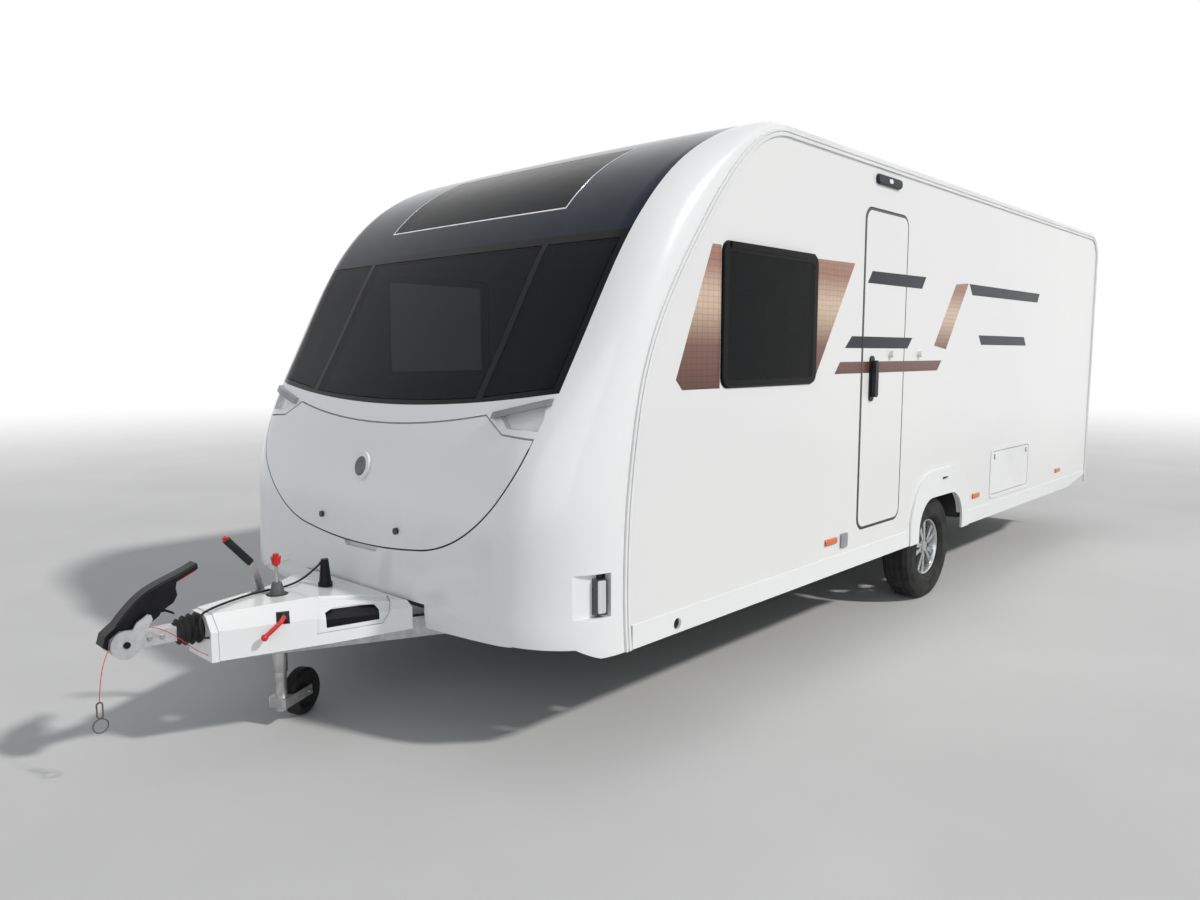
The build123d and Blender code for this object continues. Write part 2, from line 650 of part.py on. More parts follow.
# Floor with a tongue forward under the locker, boxes over the wheels, and the bulkhead and
# shelf that close the front locker
BOX_HALF = 375
BOX_TOP = 735
BOARD = 12
TYRE_ROOM = 33
BOX_IN = TYRE_MID - TYRE_W / 2 - TYRE_ROOM - BOARD
LOCKER_X = (2290, 2310)
LOCKER_HALF = INNER - 5
SHELF_Z = (1238, 1250)
SHELF_OUTLINE = ((LOCKER_X[1], LOCKER_HALF), (2370, LOCKER_HALF), (2515, HALF - 125),
                 (2606, HALF - 310), (2628, 400))
TONGUE = ((2395, HALF - 245), (2700, HALF - 365))
with BuildPart() as floor:
    with BuildSketch(Plane.XY.offset(FLOOR_BOTTOM)):
        with BuildLine():
            Polyline((REAR_X - REAR_DROP, REAR_CROWN_HALF), (REAR_X, INNER), (TONGUE[0][0], INNER),
                     *TONGUE, *[(x, -y) for x, y in reversed(TONGUE)], (TONGUE[0][0], -INNER),
                     (REAR_X, -INNER), (REAR_X - REAR_DROP, -REAR_CROWN_HALF))
            ThreePointArc((REAR_X - REAR_DROP, -REAR_CROWN_HALF), (REAR_STATION[2] + WALL, 0),
                          (REAR_X - REAR_DROP, REAR_CROWN_HALF))
        make_face()
        for side in SIDES:
            with Locations((ARCH_X, side * (BOX_IN + 200))):
                Rectangle(2 * BOX_HALF, 400, mode=Mode.SUBTRACT)
    extrude(amount=FLOOR_THICKNESS)
    for side in SIDES:
        shell_box = block((ARCH_X - BOX_HALF, ARCH_X + BOX_HALF),
                          sorted((side * BOX_IN, side * INNER)), (FLOOR_BOTTOM, BOX_TOP))
        inside = block((ARCH_X - BOX_HALF + BOARD, ARCH_X + BOX_HALF - BOARD),
                       sorted((side * (BOX_IN + BOARD), side * (INNER + BOARD))),
                       (FLOOR_BOTTOM - 1, BOX_TOP - BOARD))
        add(shell_box - inside)
    add(block(LOCKER_X, (-LOCKER_HALF, LOCKER_HALF), (FLOOR_TOP, SHELF_Z[1])))
    with BuildSketch(Plane.XY.offset(SHELF_Z[0])):
        with BuildLine():
            Polyline(*SHELF_OUTLINE, *[(x, -y) for x, y in reversed(SHELF_OUTLINE)], close=True)
        make_face()
    extrude(amount=SHELF_Z[1] - SHELF_Z[0])
finish(floor, "floor")

# Inside: closed cabinets, which stay solid. Two settees and a chest in the front lounge,
# the kitchen over the right wheel box, and roof lockers along both walls.
SEAT_TOP = 880
SETTEE_Y = (560, INNER)
SETTEE_END = {1: 900, -1: 700}
CHEST = (1960, 360, 1150)  # rear x, half width, top
WASHROOM_X = -2300
WASHROOM_WALL = 20
WASHROOM_WAY = (280, RAIL_TOP - 142)  # half width and top of the doorway
KITCHEN_X = (-1480, 400)
KITCHEN_Y = (-INNER, -640)
WORKTOP = 1400
ROOF_LOCKER_Y = 860
ROOF_LOCKER_Z = (RAIL_TOP - 462, RAIL_TOP - 82)
ROOF_LOCKER_FRONT = {1: DOOR_X[0] - 2 * DOOR_STOP, -1: 880}
with BuildPart() as furniture:
    for side in SIDES:
        add(block((SETTEE_END[side], LOCKER_X[0]), sorted((side * SETTEE_Y[0], side * SETTEE_Y[1])),
                  (FLOOR_TOP, SEAT_TOP)))
        add(block((WASHROOM_X, ROOF_LOCKER_FRONT[side]),
                  sorted((side * ROOF_LOCKER_Y, side * INNER)), ROOF_LOCKER_Z))
    add(block((CHEST[0], LOCKER_X[0]), (-CHEST[1], CHEST[1]), (FLOOR_TOP, CHEST[2])))
    add(block(KITCHEN_X, KITCHEN_Y, (BOX_TOP, WORKTOP)))
    add(block((ARCH_X + BOX_HALF, KITCHEN_X[1]), KITCHEN_Y, (FLOOR_TOP, BOX_TOP)))
finish(furniture, "furniture")

with BuildPart() as washroom_wall:
    add(block((WASHROOM_X - WASHROOM_WALL, WASHROOM_X), (-INNER, INNER), (FLOOR_TOP, RAIL_TOP - 40)))
    add(block((WASHROOM_X - 2 * WASHROOM_WALL, WASHROOM_X + 1), (-WASHROOM_WAY[0], WASHROOM_WAY[0]),
              (FLOOR_TOP - 1, WASHROOM_WAY[1])), mode=Mode.SUBTRACT)
finish(washroom_wall, "washroom_wall")

CUSHION = 130
BACK = 120
BACK_TOP = 1400
with BuildPart() as cushions:
    for side in SIDES:
        along = (SETTEE_END[side] + 5, LOCKER_X[0] - 5)
        add(block(along, sorted((side * (SETTEE_Y[0] - 10), side * INNER)),
                  (SEAT_TOP, SEAT_TOP + CUSHION)))
        add(block(along, sorted((side * (INNER - BACK), side * INNER)),
                  (SEAT_TOP + CUSHION, BACK_TOP)))
    fillet(cushions.edges().filter_by(Axis.X).group_by(Axis.Z)[-1], 20)
finish(cushions, "cushions")

# Chassis: two side members, crossmembers between them, the steadies' brackets, and two
# drawbar arms that meet behind the coupling
MEMBER_Y = 600
MEMBER_W = 40
MEMBER_Z = (352, FLOOR_BOTTOM)
MEMBER_X = (-3000, 2300)
CROSS_X = (-2900, 2200)
ARM_Z = (376, FLOOR_BOTTOM)
ARM_FRONT = (3470, 75)
JOCKEY_X = 3184
STEADY_Y = HALF - 325
STEADIES = (  # name, pivot x, pivot y, direction of the stowed leg along x
    ("steady_front_left", 1750, STEADY_Y, 1),
    ("steady_front_right", 1750, -STEADY_Y, 1),
    ("steady_rear_left", -2900, STEADY_Y, -1),
    ("steady_rear_right", -2900, -STEADY_Y, -1),
)
STEADY_Z = 430
STEADY_LENGTH = 470
PIVOT_R = 8
MEMBER_SIDES = (MEMBER_Y - MEMBER_W / 2, MEMBER_Y + MEMBER_W / 2)
with BuildPart() as chassis_frame:
    for side in SIDES:
        add(block(MEMBER_X, sorted((side * MEMBER_SIDES[0], side * MEMBER_SIDES[1])), MEMBER_Z))
finish(chassis_frame, "chassis_frame")

with BuildPart() as crossmembers:
    for x in CROSS_X:
        add(block((x - 25, x + 25), (-MEMBER_SIDES[0], MEMBER_SIDES[0]),
                  (MEMBER_Z[0] + 40, FLOOR_BOTTOM)))
finish(crossmembers, "crossmembers")

with BuildPart() as steady_brackets:
    for _, x, y, _ in STEADIES:
        side = 1 if y > 0 else -1
        add(block((x - 30, x + 30), sorted((y - side * 32, y - side * 20)),
                  (STEADY_Z - 26, FLOOR_BOTTOM)))
        add(rod((x, y - side * 20, STEADY_Z), (x, y + side * 15, STEADY_Z), PIVOT_R))
finish(steady_brackets, "steady_brackets")

STEADY_WIDTH = 30
STEADY_FOOT_R = 14
for name, x, y, way in STEADIES:
    with BuildPart() as steady:
        foot = (x + way * STEADY_LENGTH, STEADY_Z)
        low, high = y - STEADY_WIDTH / 2, y + STEADY_WIDTH / 2
        add(side_panel(((x, STEADY_Z + 16), (x, STEADY_Z - 16), (foot[0], STEADY_Z - 10),
                        (foot[0], STEADY_Z + 10)), low, high))
        add(rod((x, low, STEADY_Z), (x, high, STEADY_Z), 16))
        add(rod((foot[0], y - 50, STEADY_Z), (foot[0], y + 50, STEADY_Z), STEADY_FOOT_R))
        add(rod((x, low - 1, STEADY_Z), (x, high + 1, STEADY_Z), PIVOT_R + RUN_GAP),
            mode=Mode.SUBTRACT)
    finish(steady, name)

ARM_REAR_X = MEMBER_X[1]
ARM_BEND_X = ARM_REAR_X + 30
CLAMP_Z = (392, FLOOR_BOTTOM)
CLAMP_HALF = 45
TUBE_R = 30


def arm_edge(x, offset):
    """y of a drawbar arm's side at x; offset is +1 for its outside and -1 for its inside."""
    share = (x - ARM_BEND_X) / (ARM_FRONT[0] - ARM_BEND_X)
    centre = MEMBER_Y + share * (ARM_FRONT[1] - MEMBER_Y)
    return centre + offset * (MEMBER_W / 2 + 2 * (1 - share))


with BuildPart() as drawbar:
    for side in SIDES:
        corners = (
            (ARM_REAR_X, MEMBER_Y - MEMBER_W / 2), (ARM_REAR_X, MEMBER_Y + MEMBER_W / 2),
            (ARM_BEND_X, arm_edge(ARM_BEND_X, 1)), (ARM_FRONT[0], arm_edge(ARM_FRONT[0], 1)),
            (ARM_FRONT[0], arm_edge(ARM_FRONT[0], -1)), (ARM_BEND_X, arm_edge(ARM_BEND_X, -1)),
        )
        with BuildSketch(Plane.XY.offset(ARM_Z[0])):
            with BuildLine():
                Polyline(*[(x, side * y) for x, y in corners], close=True)
            make_face()
        extrude(amount=ARM_Z[1] - ARM_Z[0])
finish(drawbar, "drawbar")

# Axle tube under the side members, trailing arms, brake drums and stub axles
TUBE_HALF = 50
TUBE_X = AXLE_X + 160
TUBE_Z = MEMBER_Z[0] - TUBE_HALF
ARM_THICKNESS = 25
DRUM_R = 115
DRUM_DEPTH = 12
DRUM_ROOM = 28
TUBE_END = TYRE_MID - TYRE_W / 2 - DRUM_ROOM - DRUM_DEPTH - ARM_THICKNESS
STUB_R = 20
STUB_PAST = 40
with BuildPart() as axle:
    with BuildSketch(Plane.XZ.offset(-TUBE_END)):
        with Locations((TUBE_X, TUBE_Z)):
            RegularPolygon(TUBE_HALF, 6, major_radius=False)
    extrude(amount=2 * TUBE_END)
    for side in SIDES:
        with BuildSketch(Plane.XZ.offset(-side * TUBE_END)):
            with BuildLine():
                Polyline(
                    (TUBE_X + 45, TUBE_Z - 40), (TUBE_X + 45, TUBE_Z + 40),
                    (AXLE_X, AXLE_Z + 30), (AXLE_X - 25, AXLE_Z), (AXLE_X, AXLE_Z - 30),
                    close=True,
                )
            make_face()
        extrude(amount=-side * ARM_THICKNESS)
        reach = TUBE_END + ARM_THICKNESS
        add(rod((AXLE_X, side * reach, AXLE_Z), (AXLE_X, side * (reach + DRUM_DEPTH), AXLE_Z), DRUM_R))
        reach += DRUM_DEPTH
        add(rod((AXLE_X, side * reach, AXLE_Z), (AXLE_X, side * (TYRE_MID + STUB_PAST), AXLE_Z), STUB_R))
finish(axle, "axle")

# Wheels: tyre, and a cast rim with five pairs of spokes
RIM_R = RIM_D / 2
RIM_PROFILE = ((0, -62), (0, 66), (-12, 66), (-18, 50), (-26, 20), (-26, -46), (-10, -62))
HUB_R = 54
HUB_Y = (-25, 49)
SPOKE_TURN = 12
SPOKE = ((HUB_R - 6, 11), (RIM_R - 14, 17))  # distance from the centre and half width
SPOKE_Y = (38, 56)
CAP_R = 32
for side, name in SIDES.items():
    place = Location((AXLE_X, side * TYRE_MID, AXLE_Z), (0, 0, 0 if side > 0 else 180))
    with BuildPart() as tyre:
        with BuildSketch(Plane.XY):
            with BuildLine():
                half = TYRE_W / 2
                bead = RIM_R + FIT_GAP
                Polyline(
                    (bead, 22 - half), (bead + 30, -half), (bead + 95, -half),
                    (TYRE_D / 2 - 14, 14 - half), (TYRE_D / 2, 34 - half),
                    (TYRE_D / 2, half - 34), (TYRE_D / 2 - 14, half - 14),
                    (bead + 95, half), (bead + 30, half), (bead, half - 22), close=True,
                )
            make_face()
        revolve(axis=Axis.Y)
    tyre.part = tyre.part.moved(place)
    finish(tyre, "tyre_" + name)

    with BuildPart() as rim:
        with BuildSketch(Plane.XY):
            with BuildLine():
                Polyline(*[(RIM_R + r, y) for r, y in RIM_PROFILE], close=True)
            make_face()
            with Locations(((STUB_R + RUN_GAP + HUB_R) / 2, sum(HUB_Y) / 2)):
                Rectangle(HUB_R - STUB_R - RUN_GAP, HUB_Y[1] - HUB_Y[0])
        revolve(axis=Axis.Y)
        (near, near_half), (far, far_half) = SPOKE
        with BuildSketch(Plane.XZ.offset(-SPOKE_Y[1])):
            for index in range(10):
                turn = 72 * (index // 2) + (SPOKE_TURN if index % 2 else -SPOKE_TURN)
                with BuildLine(Plane.XY.rotated((0, 0, turn))):
                    Polyline((near, near_half), (far, far_half), (far, -far_half),
                             (near, -near_half), close=True)
                make_face()
        extrude(amount=SPOKE_Y[1] - SPOKE_Y[0])
        chamfer(rim.faces().filter_by(Axis.Y).sort_by(Axis.Y)[-1].edges(), 4)
        add(rod((0, HUB_Y[1], 0), (0, SPOKE_Y[1], 0), CAP_R))
        add(rod((0, HUB_Y[0], 0), (0, HUB_Y[1] - 4, 0), STUB_R + RUN_GAP), mode=Mode.SUBTRACT)
    rim.part = rim.part.moved(place)
    finish(rim, "rim_" + name)

# Jockey wheel in its clamp between the drawbar arms
JOCKEY_TURN = 26
JOCKEY_TRAIL = 135
JOCKEY_D = 200
JOCKEY_W = 60
FORK_GAP = 5
FORK_PLATE = 6
FORK_Z = (84, 128)
STEM_R = 24
STEM_Z = (68, 492)
BOLT_R = 8
TUBE_BOTTOM = 235
TUBE_TOP = 552
COLLAR = 14
BOOT = (44, 19)
KNOB_REACH = 684
KNOB_HEIGHT = 46
JOCKEY_PLACE = Location((JOCKEY_X, 0, 0), (0, 0, 180 + JOCKEY_TURN))
with BuildPart() as jockey_clamp:
    corners = [(x, arm_edge(x, -1) - RUN_GAP) for x in (JOCKEY_X - CLAMP_HALF, JOCKEY_X + CLAMP_HALF)]
    with BuildSketch(Plane.XY.offset(CLAMP_Z[0])):
        with BuildLine():
            Polyline(*corners, *[(x, -y) for x, y in reversed(corners)], close=True)
        make_face()
        with Locations((JOCKEY_X, 0)):
            Circle(TUBE_R + RUN_GAP, mode=Mode.SUBTRACT)
    extrude(amount=CLAMP_Z[1] - CLAMP_Z[0])
finish(jockey_clamp, "jockey_clamp")

with BuildPart() as jockey_tube:
    with Locations((JOCKEY_X, 0, TUBE_BOTTOM)):
        Cylinder(TUBE_R, TUBE_TOP - TUBE_BOTTOM, align=UP)
    with Locations((JOCKEY_X, 0, TUBE_TOP)):
        Cylinder(TUBE_R + 6, COLLAR, align=UP)
        Cylinder(7, KNOB_REACH - TUBE_TOP, align=UP)
    with Locations((JOCKEY_X, 0, TUBE_TOP + COLLAR)):
        Cone(TUBE_R, BOOT[1], BOOT[0], align=UP)
    with Locations((JOCKEY_X, 0, KNOB_REACH)):
        Cylinder(12, KNOB_HEIGHT, align=UP)
        Cone(15, 22, KNOB_HEIGHT - 12, align=UP)
    with Locations((JOCKEY_X, 0, TUBE_BOTTOM)):
        Cylinder(STEM_R + RUN_GAP, STEM_Z[1] - TUBE_BOTTOM + FORK_GAP, align=UP, mode=Mode.SUBTRACT)
finish(jockey_tube, "jockey_tube")

with BuildPart() as jockey_fork:
    with Locations((0, 0, STEM_Z[0])):
        Cylinder(STEM_R, STEM_Z[1] - STEM_Z[0], align=UP)
    plate_out = JOCKEY_W / 2 + FORK_GAP + FORK_PLATE
    add(block((-28, 28), (-plate_out, plate_out), FORK_Z))
    for side in SIDES:
        low, high = sorted((side * (plate_out - FORK_PLATE), side * plate_out))
        add(block((28, JOCKEY_TRAIL + 20), (low, high), FORK_Z))
    add(rod((JOCKEY_TRAIL, -plate_out - 8, JOCKEY_D / 2), (JOCKEY_TRAIL, plate_out + 8, JOCKEY_D / 2),
            BOLT_R))
jockey_fork.part = jockey_fork.part.moved(JOCKEY_PLACE)
finish(jockey_fork, "jockey_fork")

with BuildPart() as jockey_wheel:
    with BuildSketch(Plane.XY):
        with BuildLine():
            half = JOCKEY_W / 2
            bore = BOLT_R + RUN_GAP
            Polyline(
                (bore, 2 - half), (bore, half - 2), (22, half - 2), (30, half - 14),
                (62, half - 14), (70, half), (90, half), (JOCKEY_D / 2, half - 12),
                (JOCKEY_D / 2, 12 - half), (90, -half), (70, -half), (62, 14 - half),
                (30, 14 - half), (22, 2 - half), close=True,
            )
        make_face()
    revolve(axis=Axis.Y)
jockey_wheel.part = jockey_wheel.part.moved(JOCKEY_PLACE * Location((JOCKEY_TRAIL, 0, JOCKEY_D / 2)))
finish(jockey_wheel, "jockey_wheel")

# Coupling: overrun housing and shaft with its bellows, head and stabiliser lever
SHAFT_Z = 496
SHAFT_R = 20
SHAFT_END = 3650
HOUSING_X = (3370, ARM_FRONT[0], 3500)
HOUSING_Z = (400, 540)
HEAD_X = 3600
with BuildPart() as overrun_device:
    corners = [(x, arm_edge(min(x, ARM_FRONT[0]), -1) - RUN_GAP) for x in HOUSING_X]
    with BuildSketch(Plane.XY.offset(HOUSING_Z[0])):
        with BuildLine():
            Polyline(*corners, *[(x, -y) for x, y in reversed(corners)], close=True)
        make_face()
    extrude(amount=HOUSING_Z[1] - HOUSING_Z[0])
    add(rod((HOUSING_X[-1], 0, SHAFT_Z), (SHAFT_END, 0, SHAFT_Z), SHAFT_R))
finish(overrun_device, "overrun_device")

BELLOWS_END_R = 54
BELLOWS = ((0, 48), (14, 60), (26, 46), (39, 60), (51, 45), (63, 57), (75, 42), (86, 50), (96, 36))
with BuildPart() as bellows:
    with BuildSketch(Plane.XZ):
        with BuildLine():
            start, end = HOUSING_X[-1] + FIT_GAP, HEAD_X - FIT_GAP
            inner = SHAFT_R + FIT_GAP
            Polyline((start, SHAFT_Z + inner), (start, SHAFT_Z + BELLOWS[0][1]),
                     *[(start + x, SHAFT_Z + r) for x, r in BELLOWS[1:]],
                     (end, SHAFT_Z + BELLOWS[-1][1]), (end, SHAFT_Z + inner), close=True)
        make_face()
    revolve(axis=Axis((0, 0, SHAFT_Z), (1, 0, 0)))
finish(bellows, "bellows")

BALL = (3785, 500)
BALL_R = 25
BALL_GAP = 0.5
HEAD_HALF = 44
NECK_HALF = 30
HEAD_OUTLINE = ((3718, 476), (3718, 536), (3752, 552), (3800, 555), (3834, 532), (3840, 502),
                (3832, 476))
NECK_OUTLINE = ((HEAD_X, 470), (HEAD_X, 526), (3722, 530), (3722, 476))
PLATE_Y = (54, 61)
PLATE_BOSS_R = 16
DISC = (3786, 507)
DISC_R = 53
PLATE_ARM = ((3738, 488), (3724, 535), (3706, 559), (3693, 580), (3698, 598), (3710, 603),
             (3748, 580), (3764, 556), (3790, 550))


def disc_rod(start, end, radius):
    """A round on the axis of the lever's discs between two y places."""
    return rod((DISC[0], start, DISC[1]), (DISC[0], end, DISC[1]), radius)


with BuildPart() as coupling_head:
    add(side_panel(HEAD_OUTLINE, -HEAD_HALF, HEAD_HALF))
    fillet(coupling_head.edges().filter_by(Axis.Y).sort_by(Axis.X)[-3:], 12)
    add(side_panel(NECK_OUTLINE, -NECK_HALF, NECK_HALF))
    for side in SIDES:
        add(disc_rod(side * HEAD_HALF, side * PLATE_Y[0], PLATE_BOSS_R))
        add(disc_rod(side * PLATE_Y[0], side * PLATE_Y[1], DISC_R))
        add(side_panel(PLATE_ARM, *sorted((side * PLATE_Y[0], side * PLATE_Y[1]))))
    with Locations((BALL[0], 0, BALL[1])):
        Sphere(BALL_R + BALL_GAP, mode=Mode.SUBTRACT)
        Cylinder(BALL_R + BALL_GAP, 100, align=(Align.CENTER, Align.CENTER, Align.MAX),
                 mode=Mode.SUBTRACT)
    add(rod((HEAD_X, 0, SHAFT_Z), (SHAFT_END + 1, 0, SHAFT_Z), SHAFT_R + RUN_GAP), mode=Mode.SUBTRACT)
finish(coupling_head, "coupling_head")

LEVER_HALF = 34
LEVER_SPINE = ((3514, 753), (3602, 718), (3701, 677), (3772, 618), (3812, 572))
LEVER_UNDER = ((3846, 546), (3857, 508), (3826, 481), (3760, 520), (3704, 548), (3690, 562),
               (3660, 582), (3652, 596), (3607, 621), (3592, 647), (3597, 672), (3592, 698),
               (3512, 733))
HOOK = ((3665, 600), (3627, 594), (3598, 577), (3594, 566), (3628, 584), (3662, 586))
HOOK_HALF = 5
CAP = (12, 5)
with BuildPart() as stabiliser_lever:
    with BuildSketch(Plane.XZ.offset(-LEVER_HALF)):
        with BuildLine():
            Spline(*LEVER_SPINE)
            Polyline(LEVER_SPINE[-1], *LEVER_UNDER, LEVER_SPINE[0])
        make_face()
    extrude(amount=2 * LEVER_HALF)
    fillet(stabiliser_lever.faces().filter_by(Axis.Y).edges().filter_by(GeomType.BSPLINE), 8)
    add(side_panel(HOOK, -HOOK_HALF, HOOK_HALF))
    add(side_panel(HEAD_OUTLINE, -HEAD_HALF, HEAD_HALF), mode=Mode.SUBTRACT)
    add(side_panel(NECK_OUTLINE, -NECK_HALF, NECK_HALF), mode=Mode.SUBTRACT)
    for side in SIDES:
        add(disc_rod(side * PLATE_Y[1], side * (PLATE_Y[1] + CAP[1]), CAP[0]))
finish(stabiliser_lever, "stabiliser_lever")

# Handbrake lever beside the jockey wheel, and the clamp's red lever
BRAKE_Y = (-112, -88)
BRAKE_BAR = ((3175, CLAMP_Z[1]), (3205, CLAMP_Z[1]), (3222, 560), (3254, 682), (3240, 694),
             (3228, 686), (3192, 566))
BRAKE_GRIP = ((3244, 688), (3344, 800))
GRIP_R = 16
BUTTON = (9, 10)
with BuildPart() as handbrake_lever:
    add(side_panel(BRAKE_BAR, *BRAKE_Y))
    middle = sum(BRAKE_Y) / 2
    start, end = (Vector(x, middle, z) for x, z in BRAKE_GRIP)
    add(rod(start, end, GRIP_R))
    fillet(handbrake_lever.edges().filter_by(GeomType.CIRCLE).sort_by(Axis.Z)[-1], 5)
    add(rod(end, end + (end - start).normalized() * BUTTON[1], BUTTON[0]))
finish(handbrake_lever, "handbrake_lever")

CLAMP_ROUTE = ((3205, 130, 450), (3262, 200, 520), (3290, 232, 515), (3350, 216, 464))
CLAMP_R = 9
CLAMP_END_R = 14
with BuildPart() as clamp_lever:
    for start, end in zip(CLAMP_ROUTE, CLAMP_ROUTE[1:]):
        add(rod(start, end, CLAMP_R))
    for point in CLAMP_ROUTE[1:-1]:
        with Locations(point):
            Sphere(CLAMP_R)
    with Locations(CLAMP_ROUTE[-1]):
        Sphere(CLAMP_END_R)
    add(jockey_clamp.part, mode=Mode.SUBTRACT)
finish(clamp_lever, "clamp_lever")

# Fairing over the drawbar: a white cover with a closed nose, open below and behind
FAIR_SKIN = 5
NICHE_DEPTH = 10
COLLAR_DEPTH = 4
FAIR_REAR = (2832, 440, 428, 518, 405, 540)  # x, half width, bottom, crease, top half width, top
FAIR_MIDDLE = (3110, 302, 404, 512, 150, 562)
FAIR_NOSE = (HOUSING_X[-1] + FAIR_SKIN, 107, 381, 497, 62, 556)
FAIR_COLLAR_X = FAIR_NOSE[0] - 24
FLANK_REACH = hypot(FAIR_NOSE[0] - FAIR_REAR[0], FAIR_REAR[1] - FAIR_NOSE[1])
FLANK_X = (FAIR_NOSE[0] - FAIR_REAR[0]) / FLANK_REACH
FLANK_Y = (FAIR_NOSE[1] - FAIR_REAR[1]) / FLANK_REACH
FLANK = Plane(origin=(FAIR_REAR[0], FAIR_REAR[1], 0), x_dir=(FLANK_X, FLANK_Y, 0),
              z_dir=(FLANK_Y, -FLANK_X, 0))
# Openings in the left flank, by distance along it from its rear end and height
CLAMP_HOLE = ((470, 500), (470, 536), (520, 536), (520, 500))
SIDE_HOLE = ((334, 464), (336, 516), (284, 534), (142, 528), (130, 514), (130, 478))
NICHE = ((372, 446), (356, 600), (60, 600), (92, 500), (118, 462))
NICHE_REACH = 150
FLANK_OUT = 60


def fair_at(x):
    """The fairing's sizes at x, in the order of its three sections."""
    ends = (FAIR_REAR, FAIR_MIDDLE) if x < FAIR_MIDDLE[0] else (FAIR_MIDDLE, FAIR_NOSE)
    share = (x - ends[0][0]) / (ends[1][0] - ends[0][0])
    return [low + share * (high - low) for low, high in zip(*ends)]


def fairing_body(start, end, trim):
    """The fairing between two x places, drawn in by trim."""
    inner = [FAIR_MIDDLE[0]] if start < FAIR_MIDDLE[0] < end else []
    with BuildPart() as body:
        for x in (start, *inner, end):
            _, half, low, crease, top_half, top = fair_at(x)
            edge = [(half - trim, low - trim), (half - trim, crease - trim),
                    (top_half - trim, top - trim)]
            with BuildSketch(Plane.YZ.offset(x)):
                with BuildLine():
                    Polyline(*edge, *[(-y, z) for y, z in reversed(edge)], close=True)
                make_face()
        loft(ruled=True)
    return body.part


def flank_prism(outline, depth):
    """A prism that reaches that far into the left flank."""
    with BuildPart() as prism:
        with BuildSketch(FLANK.offset(-FLANK_OUT)):
            with BuildLine():
                Polyline(*outline, close=True)
            make_face()
        extrude(amount=FLANK_OUT + depth)
    return prism.part


rear_x, collar_x, nose_x = FAIR_REAR[0], FAIR_COLLAR_X, FAIR_NOSE[0]
niche = flank_prism(NICHE, NICHE_REACH)
niche_floor = fairing_body(rear_x - 1, nose_x, NICHE_DEPTH)
niche_behind = fairing_body(rear_x - 2, nose_x, NICHE_DEPTH + FAIR_SKIN)
with BuildPart() as drawbar_fairing:
    add(fairing_body(rear_x, collar_x, 0) - niche)
    add(fairing_body(rear_x, collar_x, 0) & niche & niche_floor)
    add(fairing_body(collar_x, nose_x, COLLAR_DEPTH))
    add(fairing_body(rear_x - 1, collar_x - FAIR_SKIN, FAIR_SKIN) - flank_prism(NICHE, NICHE_REACH + 9),
        mode=Mode.SUBTRACT)
    add(niche_behind & block((rear_x - 2, collar_x - FAIR_SKIN), (-450, 450), (300, 700)),
        mode=Mode.SUBTRACT)
    add(fairing_body(collar_x - FAIR_SKIN - 1, HOUSING_X[-1], COLLAR_DEPTH + FAIR_SKIN),
        mode=Mode.SUBTRACT)
    with Locations((JOCKEY_X, 0, TUBE_TOP)):
        Cylinder(TUBE_R + 14, 200, mode=Mode.SUBTRACT)
    add(rod((HOUSING_X[-1] - 1, 0, SHAFT_Z), (nose_x + 1, 0, SHAFT_Z), BELLOWS_END_R),
        mode=Mode.SUBTRACT)
    add(block((3168, 3262), (BRAKE_Y[0] - 6, BRAKE_Y[1] + 6), (480, 620)), mode=Mode.SUBTRACT)
    add(flank_prism(CLAMP_HOLE, NICHE_REACH), mode=Mode.SUBTRACT)
    add(flank_prism(SIDE_HOLE, NICHE_REACH / 2), mode=Mode.SUBTRACT)
finish(drawbar_fairing, "drawbar_fairing")

# Road cable, from a gland on its plug to the nose of the fairing
ROAD_CABLE_R = 4.5
ROAD_CABLE = (
    (2988, -2, 652), (3040, -14, 606), (3110, -40, 573), (3184, -63, 567), (3262, -60, 566),
    (3345, -34, 565), (3420, -4, 564), (3478, 30, 564), (3516, 58, 563), (3536, 78, 540),
    (3536, 88, 506), (3528, 88, 474), (FAIR_NOSE[0], 88, 474),
)
GLAND_R = 6.5
GLAND_LENGTH = 16

# Plug, parked upright on the fairing
PLUG = (2966, 0)
PLUG_TOP = 670
PLUG_BASE = 22
with BuildPart() as plug_holder:
    seat = fair_at(PLUG[0])[-1]
    with Locations((*PLUG, seat - FAIR_SKIN / 2)):
        Cylinder(30, PLUG_BASE, align=UP)
    with Locations((*PLUG, seat + PLUG_BASE - FAIR_SKIN)):
        Cone(26, 16, PLUG_TOP - seat - PLUG_BASE + FAIR_SKIN, align=UP)
    start, after = (Vector(point) for point in ROAD_CABLE[:2])
    add(rod(start, start - (after - start).normalized() * GLAND_LENGTH, GLAND_R))
    add(drawbar_fairing.part, mode=Mode.SUBTRACT)
finish(plug_holder, "plug_holder")


def cord_radii(points):
    """The largest neat bend at each inner point of a cord's route."""
    radii = []
    for before, point, after in zip(points, points[1:], points[2:]):
        into = Vector(point) - Vector(before)
        out = Vector(after) - Vector(point)
        turn = radians(into.get_angle(out))
        radii.append(0.45 * min(into.length, out.length) / tan(turn / 2))
    return radii


def cord(points, radius):
    """A tube along a route of straight runs and tangent arcs."""
    radii = cord_radii(points)
    print("cord bends", [round(value) for value in radii])
    with BuildPart() as tube:
        with BuildLine() as route:
            FilletPolyline(*points, radius=radii)
        start = route.wires()[0]
        with BuildSketch(Plane(start @ 0, z_dir=start % 0)):
            Circle(radius)
        sweep()
    return tube


finish(cord(ROAD_CABLE, ROAD_CABLE_R), "road_cable")

